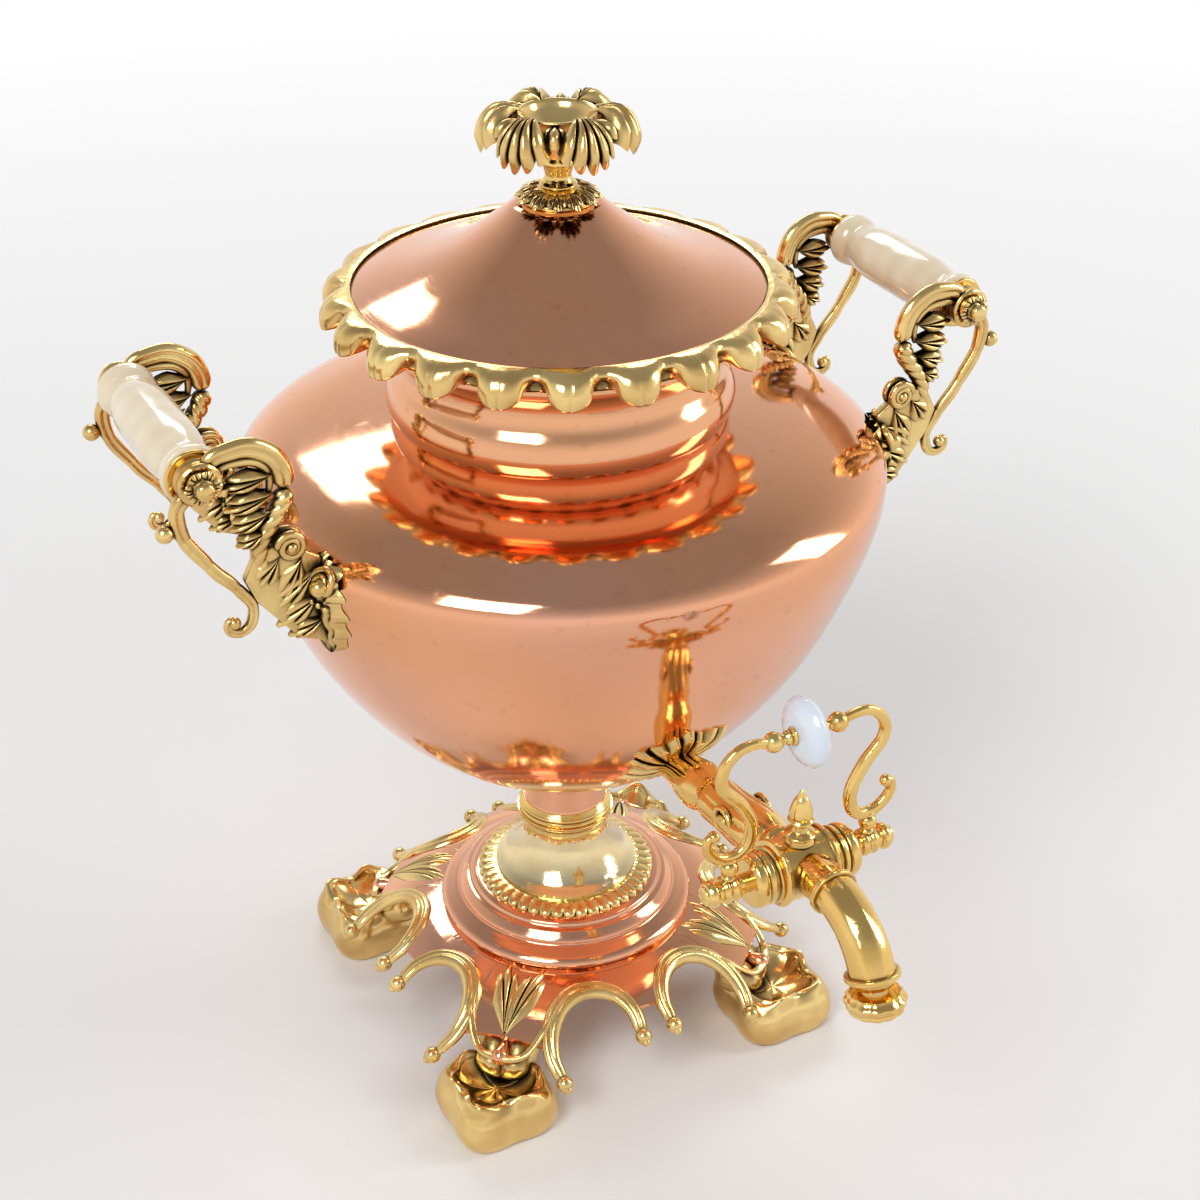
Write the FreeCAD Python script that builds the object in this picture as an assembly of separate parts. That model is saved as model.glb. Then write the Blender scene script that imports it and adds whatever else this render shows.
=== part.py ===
import FreeCAD, Part
import math
import os
from functools import lru_cache

V = FreeCAD.Vector
X, Y, Z = V(1, 0, 0), V(0, 1, 0), V(0, 0, 1)

# A copper and brass tea urn. Millimetres. Z is up, the floor is z = 0 and the bowl's axis is the
# Z axis. The tap points to -Y, the handles stand at -X and +X, and the feet are on the diagonals.

# Clearances
RUN_FIT = 0.05
LID_GAP = 0.8
SEAT_GAP = 0.2
ROD_FIT = 0.1

# Base plate, its arms and the arches between them
BASE_TOP_Z = 46.0
BASE_SHEET = 1.6
BASE_DROP = 27.0
BASE_FLAT_R = 53.0
BASE_RIM_R = 100.0
BASE_SIDE_R = 77.0
ARM_HALF_W = 27.0
ARM_REACH = 86.0
ARCH_R = 18.0
ARCH_X = 26.0
ARCH_Y = 79.0
SCROLL_R = 3.2
SCROLL_CURL_R = 4.3

# Feet
FOOT_OUT = 95.0
FOOT_R = 23.5
FOOT_LOBE = 2.4
FOOT_H = 23.0
FOOT_SCOOP_R = 21.0
FOOT_SCOOP_DEPTH = 5.0
NECK_HALF_W = 14.0
DROP_R = 3.7
DROP_OUT = 88.0
DROP_LEN = 12.0

# Turned stack on the base
MOULDING_R = 54.8
MOULDING_H = 14.9
BAND_R = 38.2
BAND_H = 3.6
BELL_R = 30.4
BELL_TOP_R = 20.5
BELL_H = 29.5
KNOP_R = 19.9
KNOP_H = 6.0
STEM_R = 17.2
STEM_H = 19.0
TIE_ROD_R = 4.0
TIE_NUT_R = 8.0
TIE_NUT_H = 6.0
TIE_WASHER_R = 22.0
TIE_WASHER_T = 2.0

# Bowl
BOWL_R = 126.3
BOWL_WALL = 1.2
BOWL_DEPTH = 139.0
SHOULDER_RISE = 27.0
MOUTH_R = 58.0
BOSS_R = 15.0
BOSS_H = 10.0

# Heater inside the bowl
SLEEVE_R = 21.0
SLEEVE_WALL = 1.2
SLEEVE_H = 152.0
SLEEVE_FLANGE_R = 27.0
IRON_R = 18.6
IRON_H = 128.0
EYE_R = 6.0
EYE_WIRE = 1.6
CAP_R = 23.0
CAP_T = 1.4
CAP_KNOB_R = 5.0

# Collar and gadrooned rim
COLLAR_R = 66.8
COLLAR_FOOT_R = 63.0
COLLAR_H = 43.0
COLLAR_WALL = 1.2
RIM_FLANGE_R = 80.0
GALLERY_R = 83.5
GALLERY_H = 8.8
LEDGE_DROP = 2.4
TONGUES = 22
TONGUE_R = 6.3
TONGUE_REACH = 6.3
TONGUE_DROP = 2.0

# Lid
LID_R = 76.7
LID_SHEET = 1.2
LID_RISE = 32.5
LID_TOP_R = 14.0
FLANGE_R = 73.4
FLANGE_WALL = 1.2
FLANGE_H = 5.0

# Finial
STUD_R = 2.5
STUD_BELOW = 8.5
ROSETTE_R = 16.8
ROSETTE_H = 5.5
ROSETTE_PETALS = 12
FERRULE_R = 6.4
FERRULE_H = 12.0
CROWN_R = 30.3
CROWN_H = 17.8
CROWN_LEAVES = 6
CUP_R = 14.4
LEAF_T = 2.2
WASHER_R = 8.0
WASHER_T = 1.2
NUT_FLATS = 8.0
NUT_H = 4.0

# Handles
GRIP_X = 157.0
GRIP_Z = 309.0
GRIP_HALF = 38.0
GRIP_R = 11.0
GRIP_NECK_R = 8.6
GRIP_COLLAR = 6.0
BRACKET_T = 7.0
BRACKET_BOSS_R = 8.0
GRIP_ROD_R = 2.0
ROSETTE_NUT_R = 6.8
ROSETTE_NUT_H = 7.0
SCROLL_BAR_R = 3.3
STRUT_R = 2.5
PAD_GAP = 0.15
LEAF_PLATE_T = 5.0
LEAF_PLATE_HALF_W = 13.0
LEAF_PLATE_TOP = 279.0
LEAF_PLATE_TIP = 229.0
VOLUTE_R = 5.6
RIVET_R = 2.0
RIVET_DOWN = 17.0
PAD_T = 1.5

# Tap
TAP_Y = -178.0
TAP_Z = 184.5
BARREL_R = 12.0
BARREL_HALF = 11.0
PLUG_R = 6.5
PORT_R = 2.6
GLAND_R = 9.8
GLAND_W = 10.0
SPINDLE_R = 3.5
SPINDLE_HALF = 33.0
KNOB_R = 4.8
KNOB_W = 5.0
PIPE_Y = -86.0
PIPE_Z = 172.0
PIPE_R = 9.0
PIPE_BORE = 4.0
TAIL_R = 5.5
TAIL_LEN = 14.0
SPOUT_R = 7.7
SPOUT_BORE = 4.6
NOZZLE_Y = -227.0
NOZZLE_Z = 166.0
NOZZLE_R = 10.8
NOZZLE_H = 7.0
ESCUTCHEON_HALF_W = 21.0
ESCUTCHEON_T = 4.0
ACORN_R = 4.6
ACORN_H = 19.0
ACORN_BOLT_R = 1.5
OPEN_ANGLE = 60.0

# Tap key
DISC_Z = 240.0
DISC_R = 12.5
DISC_HALF_T = 4.6
BAR_R = 1.8
BALL_X = 12.6
BALL_R = 3.6
BEAD_R = 2.8
ARM_R = 1.9
ARM_BOSS_X = 28.0
ARM_BOSS_R = 3.3

# Worked out from the sizes above
SCROLL_REACH = ARCH_R + 0.45 * SCROLL_R
MOULDING_TOP = BASE_TOP_Z + MOULDING_H
BAND_TOP = MOULDING_TOP + BAND_H
BELL_TOP = BAND_TOP + BELL_H
KNOP_TOP = BELL_TOP + KNOP_H
BOWL_BOTTOM_Z = KNOP_TOP + STEM_H
BOWL_WIDE_Z = BOWL_BOTTOM_Z + BOWL_DEPTH
MOUTH_Z = BOWL_WIDE_Z + SHOULDER_RISE
BOSS_Z = BOWL_BOTTOM_Z + BOWL_WALL
SLEEVE_Z = BOSS_Z + BOSS_H
SLEEVE_TOP = SLEEVE_Z + SLEEVE_H
RIM_Z = MOUTH_Z + COLLAR_H - 1.3
GALLERY_TOP = RIM_Z + GALLERY_H
LEDGE_Z = GALLERY_TOP - LEDGE_DROP
LID_EDGE_Z = LEDGE_Z + SEAT_GAP
LID_TOP_Z = LID_EDGE_Z + LID_RISE
ROSETTE_TOP = LID_TOP_Z + ROSETTE_H
FERRULE_TOP = ROSETTE_TOP + FERRULE_H
CROWN_TOP = FERRULE_TOP + CROWN_H


def edge(points):
    """A line through two points, an arc through three, and an even curve through more."""
    if len(points) == 2:
        return Part.LineSegment(points[0], points[1]).toShape()
    if len(points) == 3:
        return Part.Arc(*points).toShape()
    curve = Part.BSplineCurve()
    curve.interpolate(points)
    return curve.toShape()


def face(runs):
    edges = [edge([V(*p) for p in run]) for run in runs if run[0] != run[-1]]
    return Part.Face(Part.Wire(edges))


def turned(*runs):
    """A solid turned about Z from runs of (radius, z) points; each run starts where the last ended."""
    flat = [[(r, 0, z) for r, z in run] for run in runs]
    flat.append([flat[-1][-1], flat[0][0]])
    solid = face(flat).revolve(V(0, 0, 0), Z, 360)
    if solid.Volume < 0:
        solid.reverse()
    return solid


def offset(points, distance):
    """The same run of points moved sideways, to the left of its direction."""
    out = []
    for i, (r, z) in enumerate(points):
        a = points[max(i - 1, 0)]
        b = points[min(i + 1, len(points) - 1)]
        length = math.hypot(b[0] - a[0], b[1] - a[1])
        out.append((r - distance * (b[1] - a[1]) / length, z + distance * (b[0] - a[0]) / length))
    return out


def shell(points, wall):
    inner = offset(points, wall)[::-1]
    return turned(points, [points[-1], inner[0]], inner)


def ring(r_out, r_in, z0, z1):
    body = Part.makeCylinder(r_out, z1 - z0, V(0, 0, z0))
    if r_in > 0:
        body = body.cut(Part.makeCylinder(r_in, z1 - z0, V(0, 0, z0)))
    return body


def aimed(shape, at, direction):
    """A shape made along +Z from the origin, moved so that it starts at a point and points along direction."""
    out = shape.copy()
    out.Placement = FreeCAD.Placement(at, FreeCAD.Rotation(Z, direction)).multiply(shape.Placement)
    return out


def spun(shape, angle):
    out = shape.copy()
    out.rotate(V(0, 0, 0), Z, angle)
    return out


def mirrored(shape, axis):
    return shape.mirror(V(0, 0, 0), axis)


def four_ways(shape):
    over = mirrored(shape, Y)
    return [shape, mirrored(shape, X), over, mirrored(over, X)]


def fused(shapes):
    whole = shapes[0]
    for shape in shapes[1:]:
        whole = whole.fuse(shape)
    return whole


def bent_wire(points, ease=0.45):
    """Straight runs joined by tangent arcs, each as large as its two runs allow."""
    points = [V(*p) for p in points]
    edges, last = [], points[0]
    for before, corner, after in zip(points, points[1:], points[2:]):
        d_in = (corner - before).normalize()
        d_out = (after - corner).normalize()
        run = ease * min((corner - before).Length, (after - corner).Length)
        start, end = corner - d_in * run, corner + d_out * run
        turn = d_in.getAngle(d_out)
        if turn < 0.02:
            continue
        radius = run / math.tan(turn / 2)
        bisector = (d_out - d_in).normalize()
        middle = corner + bisector * (radius / math.cos(turn / 2) - radius)
        edges.append(Part.LineSegment(last, start).toShape())
        edges.append(Part.Arc(start, middle, end).toShape())
        last = end
    edges.append(Part.LineSegment(last, points[-1]).toShape())
    return Part.Wire(edges)


def bent_rod(points, radius, first_ball=0.0, last_ball=0.0):
    """A round bar along a bent wire, with a ball a little thicker than the bar on each named end."""
    wire = bent_wire(points)
    start = V(*points[0])
    heading = (V(*points[1]) - start).normalize()
    section = Part.Wire(Part.makeCircle(radius, start, heading))
    rod = wire.makePipeShell([section], True, True)
    parts = [rod]
    if first_ball:
        parts.append(Part.makeSphere(max(first_ball, 1.06 * radius), start))
    if last_ball:
        parts.append(Part.makeSphere(max(last_ball, 1.06 * radius), V(*points[-1])))
    return fused(parts)


# The bowl's outside, from its bottom to its mouth, as shares of its depth and radius
BOWL_LOWER = [(0.11, 0.0), (0.20, 0.022), (0.37, 0.105), (0.55, 0.228), (0.70, 0.375), (0.83, 0.555),
              (0.93, 0.76), (0.985, 0.91), (1.0, 1.0)]
BOWL_UPPER = [(0.985, 0.30), (0.91, 0.57), (0.78, 0.77), (0.70, 0.842), (0.62, 0.90)]


def bowl_outline():
    lower = [(BOWL_R * r, BOWL_BOTTOM_Z + BOWL_DEPTH * h) for r, h in BOWL_LOWER]
    upper = [(BOWL_R * r, BOWL_WIDE_Z + SHOULDER_RISE * h) for r, h in BOWL_UPPER]
    return lower + upper + [(MOUTH_R, MOUTH_Z)]


def in_arcs(points):
    """The same run cut into arcs of three points each, the next starting where the last ended."""
    return [points[i:i + 3] for i in range(0, len(points) - 2, 2)]


@lru_cache(maxsize=None)
def bowl_block(grow=0.0):
    """The bowl as a full solid, for seating the pieces that lie on it."""
    outline = offset(bowl_outline(), -grow)
    top = (0.0, outline[-1][1])
    return turned(*in_arcs(outline), [outline[-1], top], [top, (0.0, outline[0][1])])


def base_profile():
    slope = [(0.0, 0.0), (0.28, 0.11), (0.57, 0.37), (0.83, 0.71), (1.0, 1.0)]
    width = BASE_RIM_R - BASE_FLAT_R
    return [(BASE_FLAT_R + width * r, BASE_TOP_Z - BASE_DROP * h) for r, h in slope]


def base_height(radius):
    profile = base_profile()
    for (r0, z0), (r1, z1) in zip(profile, profile[1:]):
        if r0 <= radius <= r1:
            return z0 + (z1 - z0) * (radius - r0) / (r1 - r0)
    return BASE_TOP_Z


def border_scroll(side):
    """One C-scroll over an arch, its ends curled, lying on the plate's edge."""
    points = []
    for angle in (196.0, 90.0, -18.0):
        x = ARCH_X + SCROLL_REACH * math.cos(math.radians(angle))
        y = -ARCH_Y + SCROLL_REACH * math.sin(math.radians(angle))
        points.append(V(side * x, y, base_height(math.hypot(x, y)) - 0.8))
    arc = Part.Arc(*points).toShape()
    heading = arc.tangentAt(arc.FirstParameter)
    section = Part.Wire(Part.makeCircle(SCROLL_R, points[0], heading))
    rod = Part.Wire([arc]).makePipeShell([section], True, True)
    curls = [Part.makeSphere(SCROLL_CURL_R, points[0]), Part.makeSphere(SCROLL_CURL_R, points[2])]
    return fused([rod] + curls)


def scroll_borders():
    pair = [border_scroll(1), border_scroll(-1)]
    return [spun(scroll, 90 * k) for k in range(4) for scroll in pair]


def base_plate():
    outside = base_profile()
    hub = TIE_ROD_R + ROD_FIT
    under = offset(outside, -BASE_SHEET)[::-1]
    under[-1] = (BASE_FLAT_R, BASE_TOP_Z - BASE_SHEET)
    sheet = turned([(hub, BASE_TOP_Z), outside[0]], outside, [outside[-1], under[0]], under,
                   [under[-1], (hub, BASE_TOP_Z - BASE_SHEET)])
    plan = Part.makeCylinder(BASE_SIDE_R, BASE_TOP_Z * 2)
    arm = Part.makeBox(ARM_REACH, 2 * ARM_HALF_W, BASE_TOP_Z * 2, V(0, -ARM_HALF_W, 0))
    plan = plan.multiFuse([spun(arm, 45 + 90 * k) for k in range(4)])
    arches = []
    for k in range(4):
        for side in (-1, 1):
            arch = Part.makeCylinder(SCROLL_REACH, BASE_TOP_Z * 2, V(side * ARCH_X, -ARCH_Y, 0))
            arches.append(spun(arch, 90 * k))
    return sheet.common(plan.cut(Part.makeCompound(arches)))


def foot_outline(scale, z):
    points = []
    for k in range(24):
        angle = 2 * math.pi * k / 24
        radius = scale * (FOOT_R + FOOT_LOBE * math.cos(4 * angle))
        points.append(V(FOOT_OUT + radius * math.cos(angle), radius * math.sin(angle), z))
    curve = Part.BSplineCurve()
    curve.interpolate(points, PeriodicFlag=True)
    return Part.Wire(curve.toShape())


def plain_foot():
    """A lobed casting with a scooped top, and a neck that carries the plate's arm."""
    rings = [(0.86, 0.0), (1.0, 0.25), (1.0, 0.55), (0.86, 1.0)]
    block = Part.makeLoft([foot_outline(s, FOOT_H * h) for s, h in rings], True)
    scoop_z = FOOT_H + FOOT_SCOOP_R - FOOT_SCOOP_DEPTH
    block = block.cut(Part.makeSphere(FOOT_SCOOP_R, V(FOOT_OUT + 3, 0, scoop_z)))
    inner = FOOT_OUT - FOOT_R
    neck = Part.makeBox(ARM_REACH - inner, 2 * NECK_HALF_W, BASE_TOP_Z, V(inner, -NECK_HALF_W, 0.3 * FOOT_H))
    under = offset(base_profile(), -BASE_SHEET)
    ceiling = turned(under, [under[-1], (BASE_RIM_R * 1.2, under[-1][1])],
                     [(BASE_RIM_R * 1.2, under[-1][1]), (BASE_RIM_R * 1.2, 2 * BASE_TOP_Z)],
                     [(BASE_RIM_R * 1.2, 2 * BASE_TOP_Z), (0.0, 2 * BASE_TOP_Z)],
                     [(0.0, 2 * BASE_TOP_Z), (0.0, under[0][1])])
    return block.fuse(neck.cut(ceiling))


def pear_drop():
    """A small drop that lies on the foot's top at the end of the arm."""
    drop = turned([(0.0, 0.0), (0.35 * DROP_R, 0.12 * DROP_LEN), (0.7 * DROP_R, 0.38 * DROP_LEN),
                   (DROP_R, 0.7 * DROP_LEN), (0.6 * DROP_R, 0.94 * DROP_LEN), (0.0, DROP_LEN)])
    tilt = V(1, 0, -0.35).normalize()
    return aimed(drop, V(DROP_OUT - 0.55 * DROP_LEN, 0, FOOT_H + DROP_R + 1.6), tilt)


def ring_moulding():
    b, t = BASE_TOP_Z, MOULDING_TOP
    r = MOULDING_R
    inner = BAND_R - 9
    return turned([(inner, b), (r - 1.4, b)],
                  [(r - 1.4, b), (r, b + 2.3), (r - 1.4, b + 4.7), (r - 5.4, b + 6.6)],
                  [(r - 5.4, b + 6.6), (r - 7.7, b + 7.6), (r - 8.2, b + 9.4), (r - 11.2, b + 12.2)],
                  [(r - 11.2, b + 12.2), (r - 13.2, b + 12.8), (r - 14.2, b + 14.2), (r - 16.2, t)],
                  [(r - 16.2, t), (inner, t)])


def bead_band():
    b, t = MOULDING_TOP, BAND_TOP
    return turned([(BELL_R - 6, b), (BAND_R, b)], [(BAND_R, b), (BAND_R - 1.0, b + 1.9), (BELL_R + 1.5, t)],
                  [(BELL_R + 1.5, t), (BELL_R - 6, t)])


def bell_foot():
    b, t, hub = BAND_TOP, BELL_TOP, TIE_ROD_R + ROD_FIT
    waist = BELL_TOP_R - 2.4
    return turned([(BELL_R - 8, b), (BELL_R, b)], [(BELL_R, b), (BELL_R, b + 1.4)],
                  [(BELL_R, b + 1.4), (BELL_R - 4.5, b + 4.6), (waist + 3.4, b + 10), (waist + 0.6, b + 16),
                   (waist, b + 21.5), (waist + 1.0, b + 26), (BELL_TOP_R, t - 1.4)],
                  [(BELL_TOP_R, t - 1.4), (BELL_TOP_R, t)], [(BELL_TOP_R, t), (hub, t)],
                  [(hub, t), (hub, t - 5)], [(hub, t - 5), (waist - 5, t - 5)],
                  [(waist - 5, t - 5), (waist - 4, b + 12), (BELL_R - 8, b)])


def stem_knop():
    b, t, r, hub = BELL_TOP, KNOP_TOP, KNOP_R, TIE_ROD_R + ROD_FIT
    return turned([(hub, b), (r - 0.8, b)], [(r - 0.8, b), (r, b + 0.9), (r - 0.5, b + 1.9)],
                  [(r - 0.5, b + 1.9), (r - 1.1, b + 2.2)], [(r - 1.1, b + 2.2), (r - 0.5, b + 2.5)],
                  [(r - 0.5, b + 2.5), (r - 0.1, b + 3.4), (r - 0.9, b + 4.4)],
                  [(r - 0.9, b + 4.4), (r - 2.0, t)], [(r - 2.0, t), (hub, t)])


def stem_tube():
    b, r, hub = KNOP_TOP, STEM_R, TIE_ROD_R + ROD_FIT
    top = BOWL_BOTTOM_Z + 4
    blank = turned([(hub, b), (r + 0.4, b)], [(r + 0.4, b), (r, b + 2), (r - 0.2, b + 0.6 * STEM_H),
                   (r + 1.2, BOWL_BOTTOM_Z)], [(r + 1.2, BOWL_BOTTOM_Z), (r + 1.6, top)],
                   [(r + 1.6, top), (hub, top)])
    return blank.cut(bowl_block())


def bowl():
    outline = bowl_outline()
    inner = offset(outline, BOWL_WALL)[::-1]
    hub = TIE_ROD_R + ROD_FIT
    inner[-1] = (outline[0][0], BOWL_BOTTOM_Z + BOWL_WALL)
    floor = [(hub, BOWL_BOTTOM_Z), outline[0]]
    return turned(floor, *in_arcs(outline), [outline[-1], inner[0]], *in_arcs(inner),
                  [inner[-1], (hub, BOWL_BOTTOM_Z + BOWL_WALL)])


def bowl_with_holes():
    holes = [Part.makeCylinder(TAIL_R + ROD_FIT, 40, PIPE_START - PIPE_DIR * 20, PIPE_DIR)]
    for place in rivet_places():
        near = surface_x(place.y, place.z, 0.0) - 6.0
        hole = Part.makeCylinder(RIVET_R + 0.02, 12, V(near, place.y, place.z), X)
        holes += four_ways(hole)
    return bowl().cut(Part.makeCompound(holes))


def bowl_boss():
    flat_r = min(BOSS_R, BOWL_R * BOWL_LOWER[0][0])
    body = ring(0.9 * flat_r, 0, BOSS_Z, SLEEVE_Z)
    return body.cut(Part.makeCylinder(TIE_ROD_R + ROD_FIT, 0.7 * BOSS_H, V(0, 0, BOSS_Z)))


def hex_nut(flats, hole, z0, height):
    corners = [V(flats / math.sqrt(3) * math.cos(math.radians(60 * k)),
                 flats / math.sqrt(3) * math.sin(math.radians(60 * k)), z0) for k in range(7)]
    prism = Part.Face(Part.makePolygon(corners)).extrude(V(0, 0, height))
    return prism.cut(Part.makeCylinder(hole, height, V(0, 0, z0)))


def heater_sleeve():
    outer = ring(SLEEVE_R, SLEEVE_R - SLEEVE_WALL, SLEEVE_Z, SLEEVE_TOP)
    floor = ring(SLEEVE_FLANGE_R, 0, SLEEVE_Z, SLEEVE_Z + SLEEVE_WALL)
    return outer.fuse(floor).removeSplitter()


def heating_iron():
    z0 = SLEEVE_Z + SLEEVE_WALL + SEAT_GAP
    r = IRON_R
    slug = turned([(0, z0), (r - 1.5, z0)], [(r - 1.5, z0), (r, z0 + 1.5)], [(r, z0 + 1.5), (r, z0 + IRON_H - 3)],
                  [(r, z0 + IRON_H - 3), (r - 3, z0 + IRON_H)], [(r - 3, z0 + IRON_H), (0, z0 + IRON_H)])
    eye = Part.makeTorus(EYE_R, EYE_WIRE, V(0, 0, z0 + IRON_H + EYE_R - 0.4), Y)
    return slug.fuse(eye)


def sleeve_cap():
    z0 = SLEEVE_TOP + SEAT_GAP
    top = z0 + CAP_T
    plate = turned([(0, z0), (SLEEVE_R - SLEEVE_WALL - 0.5, z0)],
                   [(SLEEVE_R - SLEEVE_WALL - 0.5, z0), (CAP_R, z0)], [(CAP_R, z0), (CAP_R, z0 + 0.8)],
                   [(CAP_R, z0 + 0.8), (0.5 * CAP_R, top), (2.0, top + 0.6)],
                   [(2.0, top + 0.6), (2.0, top + 2.2), (CAP_KNOB_R, top + 4.0), (0.6 * CAP_KNOB_R, top + 6.4),
                    (0.0, top + 6.8)])
    plug_depth = 4.0
    skirt_r = SLEEVE_R - SLEEVE_WALL - 0.5
    return plate.fuse(ring(skirt_r, skirt_r - 1.0, z0 - plug_depth, z0)).removeSplitter()


def neck_collar():
    z0, foot, bulge = MOUTH_Z - 1.3, COLLAR_FOOT_R, COLLAR_R
    waist = foot - 1.8
    outline = [(foot, z0 - 2), (foot + 2.6, z0 + 3), (bulge, z0 + 8.5), (bulge - 1.5, z0 + 14.5),
               (waist + 1.2, z0 + 19.5), (waist, z0 + 25), (waist + 1.6, z0 + 31.5), (waist + 7.0, z0 + 38.5),
               (waist + 13, RIM_Z - 1.4)]
    inner = offset(outline, COLLAR_WALL)[::-1]
    flange = [(RIM_FLANGE_R, RIM_Z - 1.4), (RIM_FLANGE_R, RIM_Z), (inner[0][0], RIM_Z)]
    blank = turned(outline, [outline[-1], flange[0]], [flange[0], flange[1]], [flange[1], flange[2]],
                   [flange[2], inner[0]], inner)
    return blank.cut(bowl_block())


def rim_gallery():
    """The rim ring with its ledge for the lid, and the tongues that hang over its edge."""
    inside = FLANGE_R + 0.5
    seat = LID_R + LID_GAP
    body = turned([(inside, RIM_Z), (GALLERY_R - 2.5, RIM_Z)],
                  [(GALLERY_R - 2.5, RIM_Z), (GALLERY_R, RIM_Z + 2.6), (GALLERY_R - 0.6, RIM_Z + 6.2),
                   (seat + 1.6, GALLERY_TOP)],
                  [(seat + 1.6, GALLERY_TOP), (seat, GALLERY_TOP - 0.5)],
                  [(seat, GALLERY_TOP - 0.5), (seat, LEDGE_Z)], [(seat, LEDGE_Z), (inside, LEDGE_Z)])
    tongue = Part.makeSphere(TONGUE_R, V(GALLERY_R + TONGUE_REACH - TONGUE_R, 0, RIM_Z + 2.5))
    slab_h = GALLERY_TOP - 1.0 - RIM_Z + TONGUE_DROP
    slab = Part.makeBox(30, 30, slab_h, V(RIM_FLANGE_R - 3.0, -15, RIM_Z - TONGUE_DROP))
    under_rim = Part.makeCylinder(RIM_FLANGE_R + 0.3, TONGUE_DROP + 5, V(0, 0, RIM_Z - TONGUE_DROP - 5))
    tongue = tongue.common(slab).cut(under_rim)
    tongue = tongue.cut(Part.makeCylinder(seat + 1.6, 40, V(0, 0, RIM_Z - 10)))
    return body.multiFuse([spun(tongue, 360 * k / TONGUES) for k in range(TONGUES)])


def lid_outline():
    rise = [(1.0, 0.0), (0.914, 0.075), (0.717, 0.235), (0.522, 0.455), (0.365, 0.71), (0.235, 0.955)]
    points = [(LID_R * r, LID_EDGE_Z + 0.9 + (LID_RISE - 0.9) * h) for r, h in rise]
    return points + [(LID_TOP_R, LID_TOP_Z)]


def lid_shell():
    outline = lid_outline()
    inner = offset(outline, LID_SHEET)[::-1]
    hole = STUD_R + ROD_FIT
    under = LID_TOP_Z - LID_SHEET
    inner[0] = (LID_TOP_R - 0.3, under)
    inner[-1] = (LID_R - 3.0, LID_EDGE_Z)
    return turned([(LID_R, LID_EDGE_Z), outline[0]], outline, [outline[-1], (hole, LID_TOP_Z)],
                  [(hole, LID_TOP_Z), (hole, under)], [(hole, under), inner[0]], inner)


def lid_flange():
    top = LID_EDGE_Z
    return ring(FLANGE_R, FLANGE_R - FLANGE_WALL, top - FLANGE_H, top).fuse(
        ring(LID_R - 3.2, FLANGE_R - FLANGE_WALL, top - 0.1, top)).removeSplitter()


def rosette():
    z0, t, hole = LID_TOP_Z, ROSETTE_TOP, STUD_R + ROD_FIT
    core = turned([(hole, z0), (LID_TOP_R - 2, z0)], [(LID_TOP_R - 2, z0), (LID_TOP_R - 1, z0 + 2),
                  (0.6 * ROSETTE_R, z0 + 4.2), (FERRULE_R, t)], [(FERRULE_R, t), (hole, t)])
    petal = Part.makeSphere(3.3, V(ROSETTE_R - 3.3, 0, z0 + 1.6))
    below = Part.makeCylinder(2 * ROSETTE_R, 10, V(0, 0, z0 - 10))
    petal = petal.cut(below)
    return core.multiFuse([spun(petal, 360 * k / ROSETTE_PETALS) for k in range(ROSETTE_PETALS)])


def ferrule():
    b, t, r, hole = ROSETTE_TOP, FERRULE_TOP, FERRULE_R, STUD_R + ROD_FIT
    return turned([(hole, b), (r, b)], [(r, b), (r + 0.6, b + 1.2), (r - 0.6, b + 2.4)],
                  [(r - 0.6, b + 2.4), (r - 1.5, b + 4.5), (r - 0.7, b + 8.0)],
                  [(r - 0.7, b + 8.0), (r + 0.3, b + 9.6), (r - 0.4, t)], [(r - 0.4, t), (hole, t)])


def umbrella():
    """A thin drooping dome from which the crown's leaves are cut."""
    b, top = FERRULE_TOP, CROWN_TOP
    outline = [(0.22 * CROWN_R, b + 4.0), (0.43 * CROWN_R, top - 4.6), (0.68 * CROWN_R, top),
               (0.88 * CROWN_R, top - 3.8), (0.99 * CROWN_R, top - 11.5), (CROWN_R, top - 15.0)]
    inner = offset(outline, -LEAF_T)[::-1]
    return turned(outline, [outline[-1], inner[0]], inner)


def leaf_prism(reach, width):
    height = 60
    shape = [(0.2 * reach, 0.18), (0.45 * reach, 0.36), (0.72 * reach, 0.5), (0.9 * reach, 0.36), (reach, 0.0)]
    upper = [V(x, width * w, CROWN_TOP - height) for x, w in shape]
    lower = [V(p.x, -p.y, p.z) for p in upper[:-1]][::-1]
    curve = Part.BSplineCurve()
    curve.interpolate(upper + lower)
    closing = Part.LineSegment(lower[-1], upper[0]).toShape()
    return Part.Face(Part.Wire([curve.toShape(), closing])).extrude(V(0, 0, 2 * height))


def finial_crown():
    b, top, hole = FERRULE_TOP, CROWN_TOP, STUD_R + ROD_FIT
    cup = turned([(0, b + 9), (0, b)], [(0, b), (FERRULE_R, b)],
                 [(FERRULE_R, b), (FERRULE_R + 0.8, b + 3), (0.66 * CUP_R, b + 8), (0.95 * CUP_R, top - 4.6),
                  (CUP_R, top - 2.6)],
                 [(CUP_R, top - 2.6), (CUP_R - 1.8, top - 2.4)],
                 [(CUP_R - 1.8, top - 2.4), (0.6 * CUP_R, b + 10.5), (0.3 * CUP_R, b + 9.4), (0, b + 9)])
    cup = cup.cut(Part.makeCylinder(hole, 6, V(0, 0, b)))
    dome = umbrella()
    large = dome.common(leaf_prism(CROWN_R * 1.02, 19.0))
    small = dome.common(leaf_prism(CROWN_R * 0.74, 9.0))
    step = 360 / CROWN_LEAVES
    leaves = [spun(large, step * k + step / 2) for k in range(CROWN_LEAVES)]
    leaves += [spun(small, step * k) for k in range(CROWN_LEAVES)]
    return cup.multiFuse(leaves)


def bracket_point(x, z):
    return (x, GRIP_HALF + 1.5 + BRACKET_T / 2, z)


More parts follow.
